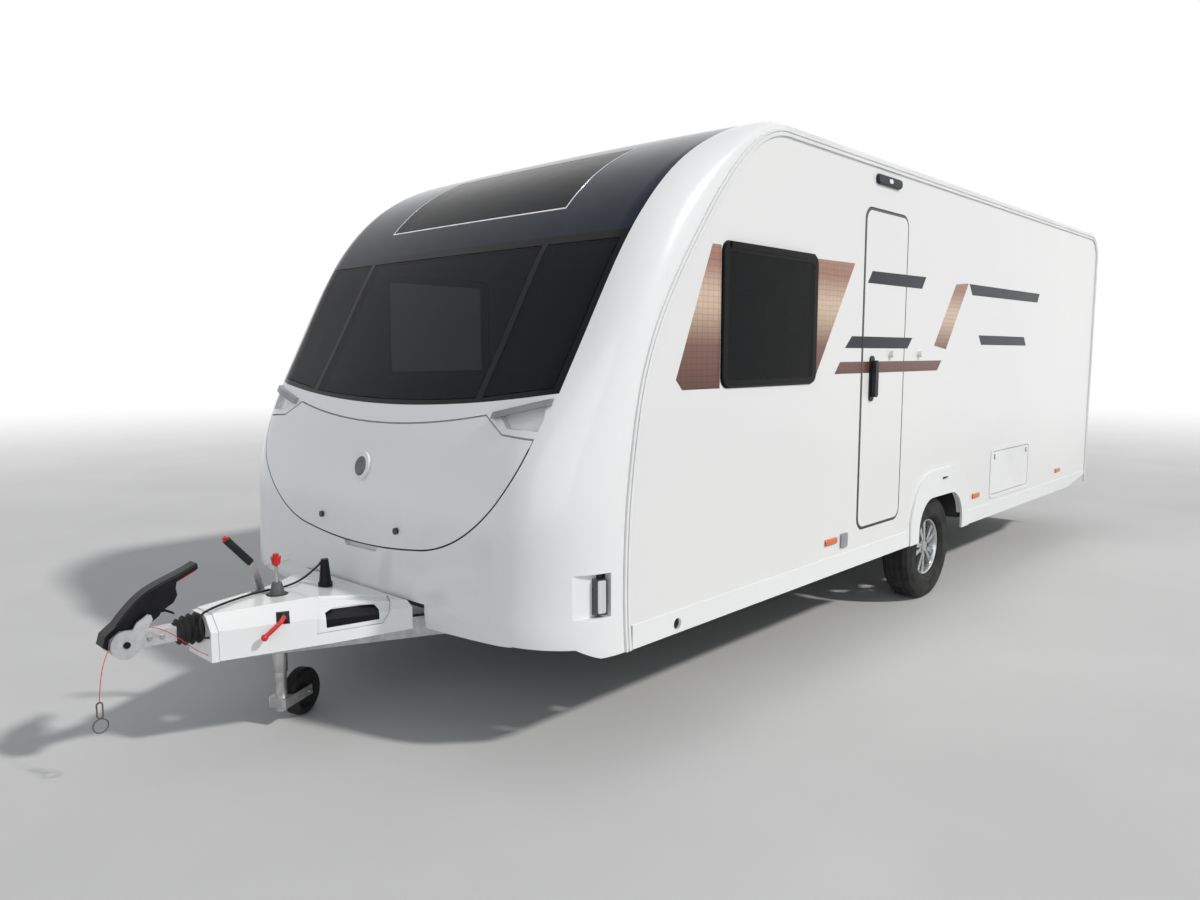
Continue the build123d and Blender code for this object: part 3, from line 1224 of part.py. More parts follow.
BREAK_CABLE_R = 1.5
BREAK_CABLE = (
    (3506, 70, 400), (3545, 72, 427), (3588, 70, 472), (3634, 65, 517), (3684, 52, 548),
    (3735, 50, 560), (3790, 49, 552), (3836, 49, 516), (3862, 50, 460), (3876, 50, 395),
    (3883, 50, 323),
)
finish(cord(BREAK_CABLE, BREAK_CABLE_R), "breakaway_cable")

CLIP = (3883, 50)
with BuildPart() as breakaway_clip:
    with BuildSketch(Plane.XZ.offset(-CLIP[1] - 2)):
        with Locations((CLIP[0], 291)):
            RectangleRounded(24, 62, 11)
            RectangleRounded(15, 53, 7, mode=Mode.SUBTRACT)
        with Locations((CLIP[0], 235)):
            Circle(27)
            Circle(23.5, mode=Mode.SUBTRACT)
    extrude(amount=4)
finish(breakaway_clip, "breakaway_clip")
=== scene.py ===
import math

import bmesh
import bpy
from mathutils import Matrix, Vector
from mathutils.bvhtree import BVHTree


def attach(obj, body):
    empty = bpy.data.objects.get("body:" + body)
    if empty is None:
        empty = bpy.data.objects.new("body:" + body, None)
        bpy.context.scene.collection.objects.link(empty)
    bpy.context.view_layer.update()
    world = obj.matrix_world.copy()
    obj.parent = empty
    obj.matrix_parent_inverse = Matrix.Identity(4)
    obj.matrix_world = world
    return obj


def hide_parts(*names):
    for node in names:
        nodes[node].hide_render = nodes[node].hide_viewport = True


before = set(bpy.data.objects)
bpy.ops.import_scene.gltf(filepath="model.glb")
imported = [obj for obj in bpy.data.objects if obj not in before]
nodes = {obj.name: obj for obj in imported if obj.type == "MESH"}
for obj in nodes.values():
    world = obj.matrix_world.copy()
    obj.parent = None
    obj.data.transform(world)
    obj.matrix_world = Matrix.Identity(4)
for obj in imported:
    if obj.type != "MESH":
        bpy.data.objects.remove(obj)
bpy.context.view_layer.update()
scene = bpy.context.scene
scene.view_settings.view_transform = "Standard"

# Camera: the photograph's own viewpoint, from 1.55 m above the ground
CAMERA_PLACE = (4.885, 3.384, 1.546)
CAMERA_YAW = 222.83
CAMERA_DOWN = 6.28
camera_data = bpy.data.cameras.new("camera")
camera_data.sensor_fit = "HORIZONTAL"
camera_data.sensor_width = 36
camera_data.lens = 26.55
camera_data.clip_end = 300
camera = bpy.data.objects.new("camera", camera_data)
camera.location = CAMERA_PLACE
camera.rotation_euler = (math.radians(90 - CAMERA_DOWN), 0, math.radians(CAMERA_YAW - 90))
scene.collection.objects.link(camera)
scene.camera = camera

# More than any place or half size on the caravan, for an axis that stays open
OPEN = 9


# Sizes read from the frame
def corners(name):
    """The lowest and the highest corner of a CAD node."""
    points = [vertex.co for vertex in nodes[name].data.vertices]
    return [Vector([end(point[axis] for point in points) for axis in range(3)])
            for end in (min, max)]


def side_rectangle(name):
    """Centre and half sizes of a CAD node in x and z, open along y."""
    low, high = corners(name)
    centre = (low + high) / 2
    half = (high - low) / 2
    return Vector((centre.x, 0, centre.z)), Vector((half.x, OPEN, half.z))


# Half the body's width, where the side walls have their outer faces
HALF = corners("wall_left")[1].y


# Node helpers
def shader(name, colour, roughness, metallic=0.0):
    """A material with a Principled shader; returns it with its node tree and shader."""
    material = bpy.data.materials.new(name)
    material.use_nodes = True
    tree = material.node_tree
    surface = tree.nodes["Principled BSDF"]
    surface.inputs["Base Color"].default_value = (*colour, 1)
    surface.inputs["Roughness"].default_value = roughness
    surface.inputs["Metallic"].default_value = metallic
    return material, tree, surface


def connect(tree, value, socket):
    """Links another node's output to a socket, or writes a plain value on it."""
    if isinstance(value, bpy.types.NodeSocket):
        tree.links.new(value, socket)
    else:
        socket.default_value = value


def position(tree):
    """Object coordinates, which are metres in the shared frame."""
    return tree.nodes.new("ShaderNodeTexCoord").outputs["Object"]


def compute(tree, operation, first, second):
    node = tree.nodes.new("ShaderNodeMath")
    node.operation = operation
    connect(tree, first, node.inputs[0])
    connect(tree, second, node.inputs[1])
    return node.outputs["Value"]


def vector_step(tree, operation, first, second=(0, 0, 0), output="Vector"):
    node = tree.nodes.new("ShaderNodeVectorMath")
    node.operation = operation
    connect(tree, first, node.inputs[0])
    connect(tree, second, node.inputs[1])
    return node.outputs[output]


def noise(tree, scale, detail=4, stretch=(1, 1, 1)):
    mapping = tree.nodes.new("ShaderNodeMapping")
    mapping.inputs["Scale"].default_value = stretch
    tree.links.new(position(tree), mapping.inputs["Vector"])
    texture = tree.nodes.new("ShaderNodeTexNoise")
    texture.inputs["Scale"].default_value = scale
    texture.inputs["Detail"].default_value = detail
    tree.links.new(mapping.outputs["Vector"], texture.inputs["Vector"])
    return texture.outputs["Fac"]


def waves(tree, scale, direction="X"):
    """Straight bands that follow each other along a direction."""
    texture = tree.nodes.new("ShaderNodeTexWave")
    texture.bands_direction = direction
    texture.inputs["Scale"].default_value = scale
    tree.links.new(position(tree), texture.inputs["Vector"])
    return texture.outputs["Fac"]


def blend_colour(tree, factor, low, high, start=0.35, end=0.65):
    ramp = tree.nodes.new("ShaderNodeValToRGB")
    ramp.color_ramp.elements[0].position = start
    ramp.color_ramp.elements[0].color = (*low, 1)
    ramp.color_ramp.elements[1].position = end
    ramp.color_ramp.elements[1].color = (*high, 1)
    tree.links.new(factor, ramp.inputs["Fac"])
    return ramp.outputs["Color"]


def spread(tree, value, low, high, start=0, end=1, smooth=False):
    """Maps the range start to end onto the range low to high."""
    node = tree.nodes.new("ShaderNodeMapRange")
    if smooth:
        node.interpolation_type = "SMOOTHSTEP"
    node.inputs["From Min"].default_value = start
    node.inputs["From Max"].default_value = end
    node.inputs["To Min"].default_value = low
    node.inputs["To Max"].default_value = high
    tree.links.new(value, node.inputs["Value"])
    return node.outputs["Result"]


def pick(tree, factor, low, high, colour=False):
    """Mixes two values, or two colours, by a factor."""
    node = tree.nodes.new("ShaderNodeMix")
    node.data_type = "RGBA" if colour else "FLOAT"
    # Places of the first input and of the result among a Mix node's colour or value sockets
    first, result = (6, 2) if colour else (2, 0)
    connect(tree, factor, node.inputs[0])
    connect(tree, low, node.inputs[first])
    connect(tree, high, node.inputs[first + 1])
    return node.outputs[result]


def bump(tree, surface, height, strength, distance=0.001):
    node = tree.nodes.new("ShaderNodeBump")
    node.inputs["Strength"].default_value = strength
    node.inputs["Distance"].default_value = distance
    tree.links.new(height, node.inputs["Height"])
    tree.links.new(node.outputs["Normal"], surface.inputs["Normal"])


def edge_distance(tree, centre, half, radius):
    """Distance from a rectangle smaller than half by radius, which rounds its corners."""
    offset = vector_step(tree, "ABSOLUTE", vector_step(tree, "SUBTRACT", position(tree), centre))
    inner = [size - radius for size in half]
    outside = vector_step(tree, "MAXIMUM", vector_step(tree, "SUBTRACT", offset, inner))
    return vector_step(tree, "LENGTH", outside, output="Value")


# Cuts: each returns a function that gives 1 past a limit, else 0
def beyond(direction, limit):
    """Past limit along a direction of the frame."""
    def cut(tree):
        along = vector_step(tree, "DOT_PRODUCT", position(tree), direction, "Value")
        return compute(tree, "GREATER_THAN", along, limit)
    return cut


def higher(limit):
    return beyond((0, 0, 1), limit)


def farther(centre, ignored, limit):
    """Farther than limit from a line through centre along the ignored axis."""
    def cut(tree):
        mask = [0 if axis == ignored else 1 for axis in range(3)]
        flat = vector_step(tree, "MULTIPLY", position(tree), mask)
        distance = vector_step(tree, "DISTANCE", flat, centre, "Value")
        return compute(tree, "GREATER_THAN", distance, limit)
    return cut


# Scale and depth of a surface's fine grain
GRAIN_SCALE = 220
GRAIN_DEPTH = 0.0004


def grain_over(tree, surface, strength, scale=GRAIN_SCALE):
    bump(tree, surface, noise(tree, scale, 2), strength, GRAIN_DEPTH)


# Kinds of material
def worn(name, low, high, roughness, scale=6, metallic=0.0, grain=GRAIN_SCALE, strength=0.15,
         coat=0.0, stretch=(1, 1, 1), shine=0.5):
    """Two close colours in soft patches, uneven gloss and a fine grain."""
    material, tree, surface = shader(name, high, roughness[0], metallic)
    patches = noise(tree, scale, 5, stretch)
    tree.links.new(blend_colour(tree, patches, low, high), surface.inputs["Base Color"])
    tree.links.new(spread(tree, patches, *roughness), surface.inputs["Roughness"])
    grain_over(tree, surface, strength, grain)
    surface.inputs["Coat Weight"].default_value = coat
    surface.inputs["Coat Roughness"].default_value = 0.08
    surface.inputs["Specular IOR Level"].default_value = shine
    return material


def zoned(name, finishes, cuts, strength=0.08, coat=0.0, shine=0.5):
    """Several finishes on one piece; past each cut the next finish takes over.

    A finish is low colour, high colour, roughness, metallic.
    """
    low, high, roughness, metallic = finishes[0]
    material, tree, surface = shader(name, high, roughness, metallic)
    patches = noise(tree, 9, 4)
    colour = blend_colour(tree, patches, low, high)
    for cut, (low, high, next_roughness, next_metallic) in zip(cuts, finishes[1:]):
        factor = cut(tree)
        colour = pick(tree, factor, colour, blend_colour(tree, patches, low, high), colour=True)
        roughness = pick(tree, factor, roughness, next_roughness)
        metallic = pick(tree, factor, metallic, next_metallic)
    tree.links.new(colour, surface.inputs["Base Color"])
    tree.links.new(roughness, surface.inputs["Roughness"])
    tree.links.new(metallic, surface.inputs["Metallic"])
    grain_over(tree, surface, strength)
    surface.inputs["Coat Weight"].default_value = coat
    surface.inputs["Specular IOR Level"].default_value = shine
    return material


def tinted_glass(name, colour, cover):
    """A thin dark pane; cover is the share of the light that each of its faces stops."""
    material, tree, surface = shader(name, colour, 0.02)
    surface.inputs["Alpha"].default_value = cover
    surface.inputs["IOR"].default_value = 1.2
    tree.links.new(spread(tree, noise(tree, 3, 3), 0.01, 0.05), surface.inputs["Roughness"])
    return material, tree, surface


def framed_glass(name, colour, cover, panes, radius, frame_width):
    """Tinted panes with a black printed frame round each."""
    material, tree, surface = tinted_glass(name, colour, cover)
    nearest, *others = [edge_distance(tree, centre, half, radius) for centre, half in panes]
    for distance in others:
        nearest = compute(tree, "MINIMUM", nearest, distance)
    on_frame = compute(tree, "GREATER_THAN", nearest, radius - frame_width)
    shade = blend_colour(tree, noise(tree, 5, 3), colour, [value * 1.15 for value in colour])
    tree.links.new(pick(tree, on_frame, shade, (0.006, 0.006, 0.007, 1), colour=True),
                   surface.inputs["Base Color"])
    tree.links.new(pick(tree, on_frame, cover, 1.0), surface.inputs["Alpha"])
    return material


LENS_CORNER = 0.012
LENS_RIM = 0.0055


def lens(name, low, high, ribs, rectangle=None):
    """A moulded lamp lens with fine ribs, and a dark rim along a rectangle's edge."""
    material, tree, surface = shader(name, high, 0.12)
    ribbing = waves(tree, ribs)
    colour = blend_colour(tree, ribbing, low, high, 0, 1)
    if rectangle:
        distance = edge_distance(tree, *rectangle, LENS_CORNER)
        on_rim = compute(tree, "GREATER_THAN", distance, LENS_CORNER - LENS_RIM)
        colour = pick(tree, on_rim, colour, (0.03, 0.03, 0.032, 1), colour=True)
    tree.links.new(colour, surface.inputs["Base Color"])
    bump(tree, surface, ribbing, 0.4, 0.0005)
    surface.inputs["Coat Weight"].default_value = 0.6
    return material


def woven(name, low, high, threads):
    """Upholstery: two crossed sets of threads over soft colour patches."""
    material, tree, surface = shader(name, high, 0.85)
    crossed = compute(tree, "MULTIPLY", waves(tree, threads, "X"), waves(tree, threads, "Z"))
    tree.links.new(blend_colour(tree, noise(tree, 30, 6), low, high), surface.inputs["Base Color"])
    bump(tree, surface, crossed, 0.5, 0.001)
    surface.inputs["Sheen Weight"].default_value = 0.3
    return material


def tread(name, low, high):
    """Tyre rubber with straight grooves round it."""
    material, tree, surface = shader(name, low, 0.7)
    surface.inputs["Specular IOR Level"].default_value = 0.22
    tree.links.new(blend_colour(tree, noise(tree, 20, 4), low, high), surface.inputs["Base Color"])
    bump(tree, surface, waves(tree, 9, "Y"), 0.6, 0.004)
    return material


WALL_COLOURS = ((0.765, 0.775, 0.77), (0.80, 0.81, 0.80))
# The seal lip round the door: its corner radius and width, and how far it sits off centre
LIP_CORNER = 0.0665
LIP_WIDTH = 0.011
LIP_SHIFT = Vector((-0.006, 0, -0.0005))


def door_skin():
    """The wall's gloss, with a black seal lip round the door's edge."""
    material, tree, surface = shader("door_skin", WALL_COLOURS[1], 0.25)
    patches = noise(tree, 0.6, 5)
    centre, half = side_rectangle("door")
    distance = edge_distance(tree, centre + LIP_SHIFT, half, LIP_CORNER)
    on_lip = compute(tree, "GREATER_THAN", distance, LIP_CORNER - LIP_WIDTH)
    skin = blend_colour(tree, patches, *WALL_COLOURS)
    tree.links.new(pick(tree, on_lip, skin, (0.02, 0.02, 0.022, 1), colour=True),
                   surface.inputs["Base Color"])
    tree.links.new(spread(tree, patches, 0.20, 0.30), surface.inputs["Roughness"])
    grain_over(tree, surface, 0.05, 60)
    surface.inputs["Coat Weight"].default_value = 0.3
    return material


# Materials
white = worn("white_gloss", (0.80, 0.81, 0.82), (0.84, 0.85, 0.855), (0.16, 0.24), 0.8,
             strength=0.05, coat=0.4)
wall_white = worn("wall_gloss", *WALL_COLOURS, (0.20, 0.30), 0.6, grain=60, strength=0.06,
                  coat=0.3)
roof_white = worn("roof_satin", (0.70, 0.71, 0.71), (0.80, 0.80, 0.80), (0.35, 0.5), 1.5)
trim_white = worn("trim_satin", (0.74, 0.75, 0.75), (0.80, 0.805, 0.81), (0.3, 0.4), 3)
# The cowl is navy above the front panes and black between them
PANES_TOP = 2.03
navy = zoned("cowl_navy", (((0.002, 0.002, 0.003), (0.004, 0.004, 0.005), 0.08, 0.0),
                           ((0.005, 0.010, 0.022), (0.008, 0.016, 0.032), 0.10, 0.0)),
             (higher(PANES_TOP),), strength=0.02, shine=0.14)
front_glass = tinted_glass("dark_acrylic", (0.003, 0.005, 0.009), 0.72)[0]
# Centre and half sizes of the lounge, kitchen, washroom and rear panes
SIDE_PANES = (
    ((1.423, 0, 1.698), (0.394, OPEN, 0.308)),
    ((-0.540, 0, 1.7605), (0.360, OPEN, 0.2455)),
    ((-2.805, 0, 1.7605), (0.245, OPEN, 0.2455)),
    ((0, 0, 1.775), (OPEN, 0.465, 0.250)),
)
PANE_CORNER = 0.055
PRINT_WIDTH = 0.040
glass = framed_glass("tinted_acrylic", (0.008, 0.009, 0.010), 0.60, SIDE_PANES, PANE_CORNER,
                     PRINT_WIDTH)
clear = lens("clear_lens", (0.42, 0.44, 0.47), (0.80, 0.81, 0.83), 60,
             side_rectangle("front_lamps"))
amber = lens("amber_lens", (0.55, 0.075, 0.004), (0.82, 0.17, 0.008), 120)
INDICATOR_FOOT = 0.93
red = zoned("rear_lens", (((0.35, 0.005, 0.005), (0.62, 0.015, 0.015), 0.12, 0.0),
                          ((0.75, 0.16, 0.01), (0.95, 0.30, 0.02), 0.12, 0.0)),
            (higher(INDICATOR_FOOT),), coat=0.5)
rubber = worn("black_rubber", (0.010, 0.010, 0.010), (0.024, 0.024, 0.024), (0.55, 0.75), 14,
              shine=0.25)
black = worn("satin_black", (0.005, 0.005, 0.006), (0.011, 0.011, 0.013), (0.3, 0.42), 10,
             shine=0.16)
grey = worn("handle_grey", (0.20, 0.205, 0.21), (0.27, 0.275, 0.28), (0.28, 0.38), 8, 0.35)
galvanised = worn("galvanised", (0.38, 0.40, 0.41), (0.52, 0.54, 0.55), (0.38, 0.52), 30, 0.85,
                  grain=400)
zinc = worn("zinc_plate", (0.40, 0.40, 0.40), (0.55, 0.55, 0.54), (0.28, 0.42), 30, 0.9, grain=400)
dull_steel = worn("dull_steel", (0.09, 0.08, 0.075), (0.17, 0.15, 0.14), (0.4, 0.55), 30, 0.7)
cast = worn("cast_silver", (0.50, 0.51, 0.52), (0.60, 0.61, 0.62), (0.34, 0.44), 40, 0.7,
            grain=500, strength=0.12)
alloy = worn("alloy_silver", (0.48, 0.49, 0.50), (0.60, 0.61, 0.62), (0.22, 0.32), 12, 0.85,
             coat=0.4)
red_paint = worn("red_paint", (0.50, 0.010, 0.012), (0.66, 0.018, 0.020), (0.25, 0.35), 18,
                 coat=0.3)
chrome = worn("bright_trim", (0.62, 0.63, 0.64), (0.78, 0.79, 0.80), (0.12, 0.2), 20, 0.6)
smoked = worn("smoked_acrylic", (0.05, 0.05, 0.055), (0.08, 0.08, 0.085), (0.12, 0.2), 6, coat=0.5)
timber = worn("light_timber", (0.30, 0.20, 0.12), (0.42, 0.30, 0.19), (0.35, 0.5), 3,
              stretch=(1, 6, 6))
board = worn("sealed_ply", (0.020, 0.020, 0.020), (0.045, 0.044, 0.042), (0.5, 0.7), 4)
slate = worn("slate_film", (0.020, 0.024, 0.030), (0.032, 0.037, 0.046), (0.25, 0.35), 4,
             shine=0.15)
cloth = woven("grey_cloth", (0.20, 0.19, 0.18), (0.32, 0.30, 0.28), 160)

# Finishes that zoned materials share
BLACK_FINISH = ((0.010, 0.010, 0.011), (0.022, 0.022, 0.024), 0.34, 0.0)
WHITE_FINISH = ((0.74, 0.75, 0.75), (0.82, 0.825, 0.83), 0.25, 0.0)
ZINC_FINISH = ((0.38, 0.38, 0.38), (0.56, 0.56, 0.55), 0.34, 0.9)
RED_FINISH = ((0.50, 0.010, 0.012), (0.66, 0.018, 0.020), 0.28, 0.0)
SOCKET_FINISH = ((0.24, 0.25, 0.26), (0.32, 0.33, 0.34), 0.45, 0.0)
CHROME_FINISH = ((0.30, 0.31, 0.33), (0.45, 0.46, 0.48), 0.12, 0.9)
DARK_CHROME_FINISH = ((0.035, 0.037, 0.042), (0.10, 0.105, 0.115), 0.10, 0.95)
BOOT_FINISH = ((0.05, 0.05, 0.052), (0.09, 0.09, 0.092), 0.55, 0.0)

# The boss is a dark disc in a white ring, and the two locks below it are black
BOSS_CENTRE = (0, 0, 1.053)
DISC_RADIUS = 0.042
LOCKS_TOP = 0.9
boss = zoned("lid_fittings", (DARK_CHROME_FINISH, WHITE_FINISH, BLACK_FINISH),
             (farther(BOSS_CENTRE, 0, DISC_RADIUS), beyond((0, 0, -1), -LOCKS_TOP)), coat=0.3)
# The door's catch is white, its handle in front of it black
HANDLE_REAR = 0.32
door_look = zoned("door_fittings", (WHITE_FINISH, BLACK_FINISH), (beyond((1, 0, 0), HANDLE_REAR),),
                  shine=0.25)
# Up the wall: water point, catch, awning light
WATER_POINT_TOP = 0.7
CATCH_TOP = 2.3
fittings = zoned("wall_fittings", (SOCKET_FINISH, WHITE_FINISH, CHROME_FINISH),
                 (higher(WATER_POINT_TOP), higher(CATCH_TOP)))
# Up the jockey tube: tube, rubber boot, winder's stem, red knob
BOOT_FOOT, BOOT_TOP, KNOB_FOOT = 0.552, 0.611, 0.677
jockey_steel = zoned("jockey_steel", (ZINC_FINISH, BOOT_FINISH, ZINC_FINISH, RED_FINISH),
                     (higher(BOOT_FOOT), higher(BOOT_TOP), higher(KNOB_FOOT)))
# Along the handbrake lever: bar, grip, button
GRIP_AXIS = (0.666, 0, 0.746)
GRIP_START, BUTTON_START = 2.672, 2.823
brake_look = zoned("handbrake", (ZINC_FINISH, BLACK_FINISH, RED_FINISH),
                   (beyond(GRIP_AXIS, GRIP_START), beyond(GRIP_AXIS, BUTTON_START)), shine=0.3)

LOOKS = {
    white: ("front_moulding", "rear_panel", "locker_lid", "skirts", "arch_trims",
            "drawbar_fairing"),
    wall_white: ("wall_left", "wall_right"),
    door_skin(): ("door",),
    roof_white: ("roof",),
    trim_white: ("rooflight_frames", "awning_rails", "hatch_frame", "service_hatch"),
    navy: ("front_cowl",),
    front_glass: ("front_windows",),
    glass: ("window_panes",),
    clear: ("front_lamps",),
    amber: ("side_markers",),
    red: ("rear_lamps",),
    rubber: ("window_seals", "bellows", "jockey_wheel", "road_cable"),
    black: ("stabiliser_lever", "plug_holder"),
    door_look: ("door_fittings",),
    fittings: ("wall_fittings",),
    brake_look: ("handbrake_lever",),
    grey: ("grab_handles",),
    boss: ("lid_fittings",),
    galvanised: ("chassis_frame", "crossmembers", "steady_brackets", "drawbar", "axle",
                 "jockey_clamp", "overrun_device", "steady_front_left", "steady_front_right",
                 "steady_rear_left", "steady_rear_right"),
    zinc: ("jockey_fork",),
    dull_steel: ("breakaway_clip",),
    jockey_steel: ("jockey_tube",),
    cast: ("coupling_head",),
    alloy: ("rim_left", "rim_right"),
    red_paint: ("clamp_lever", "breakaway_cable"),
    smoked: ("rooflight_front", "rooflight_rear"),
    timber: ("furniture", "washroom_wall"),
    board: ("floor",),
    tread("tyre_rubber", (0.014, 0.014, 0.014), (0.034, 0.033, 0.032)): ("tyre_left", "tyre_right"),
    cloth: ("cushions",),
}
for material, names in LOOKS.items():
    for name in names:
        nodes[name].data.materials.clear()
        nodes[name].data.materials.append(material)


# Cords, on the routes of their CAD tubes
ROAD_CABLE = (
    (2.988, -0.002, 0.652), (3.040, -0.014, 0.606), (3.110, -0.040, 0.573),
    (3.184, -0.063, 0.567), (3.262, -0.060, 0.566), (3.345, -0.034, 0.565),
    (3.420, -0.004, 0.564), (3.478, 0.030, 0.564), (3.516, 0.058, 0.563),
    (3.536, 0.078, 0.540), (3.536, 0.088, 0.506), (3.528, 0.088, 0.474), (3.505, 0.088, 0.474),
)
BREAK_CABLE = (
    (3.506, 0.070, 0.400), (3.545, 0.072, 0.427), (3.588, 0.070, 0.472), (3.634, 0.065, 0.517),
    (3.684, 0.052, 0.548), (3.735, 0.050, 0.560), (3.790, 0.049, 0.552), (3.836, 0.049, 0.516),
    (3.862, 0.050, 0.460), (3.876, 0.050, 0.395), (3.883, 0.050, 0.323),
)


def cord_curve(name, points, diameter, material):
    curve = bpy.data.curves.new(name, "CURVE")
    curve.dimensions = "3D"
    curve.bevel_depth = diameter / 2
    curve.bevel_resolution = 3
    spline = curve.splines.new("NURBS")
    spline.points.add(len(points) - 1)
    for target, point in zip(spline.points, points):
        target.co = (*point, 1)
    spline.order_u = 3
    spline.use_endpoint_u = True
    spline.resolution_u = 12
    piece = bpy.data.objects.new(name, curve)
    scene.collection.objects.link(piece)
    curve.materials.append(material)
    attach(piece, "caravan")
    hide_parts(name.removesuffix("_line"))
    return piece


road_line = cord_curve("road_cable_line", ROAD_CABLE, 0.009, rubber)
break_line = cord_curve("breakaway_cable_line", BREAK_CABLE, 0.003, red_paint)


# Mesh helpers
def loft(mesh, sections, closed=False):
    """Skins rows of like points; the ends are capped, or joined where it is closed."""
    rings = [[mesh.verts.new(point) for point in section] for section in sections]
    pairs = list(zip(rings, rings[1:]))
    if closed:
        pairs.append((rings[-1], rings[0]))
    else:
        mesh.faces.new(rings[0])
        mesh.faces.new(rings[-1])
    for ring, after in pairs:
        for index in range(len(ring)):
            beside = (index + 1) % len(ring)
            mesh.faces.new((ring[index], ring[beside], after[beside], after[index]))


def add_mesh(name, mesh, body, material):
    bmesh.ops.recalc_face_normals(mesh, faces=mesh.faces)
    geometry = bpy.data.meshes.new(name)
    mesh.to_mesh(geometry)
    mesh.free()
    geometry.materials.append(material)
    piece = bpy.data.objects.new(name, geometry)
    scene.collection.objects.link(piece)
    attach(piece, body)
    return piece


def clip_x(points, low, high):
    """The part of a convex x, z outline between two x values."""
    for limit, sign in ((low, 1), (high, -1)):
        kept = []
        for index, point in enumerate(points):
            before = points[index - 1]
            inside, inside_before = (sign * (place[0] - limit) >= 0
                                     for place in (point, before))
            if inside != inside_before:
                share = (limit - before[0]) / (point[0] - before[0])
                kept.append((limit, before[1] + share * (point[1] - before[1])))
            if inside:
                kept.append(point)
        points = kept
    return points


def decal(name, outlines, body, material, thickness=0.0005):
    """Flat film shapes on the left wall, from closed x, z outlines in metres."""
    mesh = bmesh.new()
    for outline in outlines:
        if outline:
            loft(mesh, [[(x, HALF + lift, z) for x, z in outline] for lift in (0, thickness)])
    return add_mesh(name, mesh, body, material)


# Graphics on the left side: a copper patch round the lounge window, plain stripes behind it
FILM_FOOT, FILM_TOP = 1.397, 1.997
FILM_BANDS = (
    (0.0, (0.125, 0.056, 0.046)), (0.30, (0.22, 0.11, 0.085)), (0.56, (0.62, 0.47, 0.35)),
    (0.66, (0.66, 0.50, 0.38)), (0.88, (0.36, 0.19, 0.14)), (1.0, (0.40, 0.22, 0.17)),
)
LINK_LENGTH, LINK_HEIGHT, LINK_LINE = 0.036, 0.025, 0.0022


def copper_film():
    """Copper film: bands of brown and cream up its height under rows of small outlined links."""
    material, tree, surface = shader("copper_film", (0.45, 0.26, 0.20), 0.3, 0.35)
    split = tree.nodes.new("ShaderNodeSeparateXYZ")
    tree.links.new(position(tree), split.inputs["Vector"])
    ramp = tree.nodes.new("ShaderNodeValToRGB")
    stops = ramp.color_ramp.elements
    for index, (height, colour) in enumerate(FILM_BANDS):
        stop = stops[index] if index < len(stops) else stops.new(height)
        stop.position = height
        stop.color = (*colour, 1)
    tree.links.new(spread(tree, split.outputs["Z"], 0, 1, FILM_FOOT, FILM_TOP), ramp.inputs["Fac"])
    flat = tree.nodes.new("ShaderNodeCombineXYZ")
    tree.links.new(split.outputs["X"], flat.inputs["X"])
    tree.links.new(split.outputs["Z"], flat.inputs["Y"])
    links = tree.nodes.new("ShaderNodeTexBrick")
    links.offset = 0.0
    for socket, value in (("Scale", 1), ("Brick Width", LINK_LENGTH), ("Row Height", LINK_HEIGHT),
                          ("Mortar Size", LINK_LINE), ("Color1", (1, 1, 1, 1)),
                          ("Color2", (0.95, 0.95, 0.95, 1)), ("Mortar", (0.78, 0.76, 0.74, 1))):
        links.inputs[socket].default_value = value
    tree.links.new(flat.outputs["Vector"], links.inputs["Vector"])
    tint = vector_step(tree, "MULTIPLY", ramp.outputs["Color"], links.outputs["Color"])
    tree.links.new(tint, surface.inputs["Base Color"])
    tree.links.new(spread(tree, noise(tree, 8, 3), 0.26, 0.36), surface.inputs["Roughness"])
    return material


copper = copper_film()
PATCH = (
    ((1.881, 1.988), (1.819, 1.988), (1.819, 1.397), (2.075, 1.397), (2.116, 1.438)),
    ((1.027, 1.992), (0.647, 1.997), (1.027, 1.424)),
)
STRIPES = (
    ("slate", slate, (
        ((0.501, 1.908), (0.451, 1.972), (-0.234, 1.982), (-0.180, 1.912)),
        ((0.730, 1.569), (0.659, 1.630), (-0.072, 1.630), (-0.010, 1.569)),
        ((-0.960, 1.912), (-0.904, 1.980), (-2.305, 1.984), (-2.263, 1.918)),
        ((-1.150, 1.597), (-1.100, 1.659), (-1.999, 1.659), (-2.048, 1.597)),
    )),
    ("copper", copper, (
        ((0.832, 1.439), (0.778, 1.499), (-0.503, 1.499), (-0.440, 1.439)),
        ((-0.888, 1.982), (-0.688, 1.966), (-0.384, 1.588), (-0.564, 1.566)),
    )),
)
DOOR_GAP = 0.005
door_rear, door_front = (corner.x for corner in corners("door"))
decal("window_patch", PATCH, "caravan", copper)
for label, film, outlines in STRIPES:
    on_wall = [clip_x(outline, door_front + DOOR_GAP, OPEN) for outline in outlines]
    on_wall += [clip_x(outline, -OPEN, door_rear - DOOR_GAP) for outline in outlines]
    decal("stripes_" + label, on_wall, "caravan", film)
    on_door = [clip_x(outline, door_rear, door_front) for outline in outlines]
    decal("door_stripes_" + label, on_door, "door", film)

# Bright line along the foot and sides of the panoramic pane, laid on the cowl's surface
PANORAMA_HALF = 0.636
PANORAMA_Z = (2.165, 2.484)
TRIM_WIDTH = 0.007
TRIM_LIFT = 0.0009
FOOT_CELLS, SIDE_CELLS = 60, 30


def surface_finder(name):
    """Finds the outer surface of a CAD node at a y and z, seen from the front."""
    geometry = nodes[name].data
    searcher = BVHTree.FromPolygons([vertex.co for vertex in geometry.vertices],
                                    [face.vertices for face in geometry.polygons])
    ahead = corners(name)[1].x + 1

    def find(y, z):
        return searcher.ray_cast(Vector((ahead, y, z)), Vector((-1, 0, 0)))[:2]
    return find


def row(start, end, count):
    return [tuple(a + (b - a) * index / count for a, b in zip(start, end))
            for index in range(count + 1)]


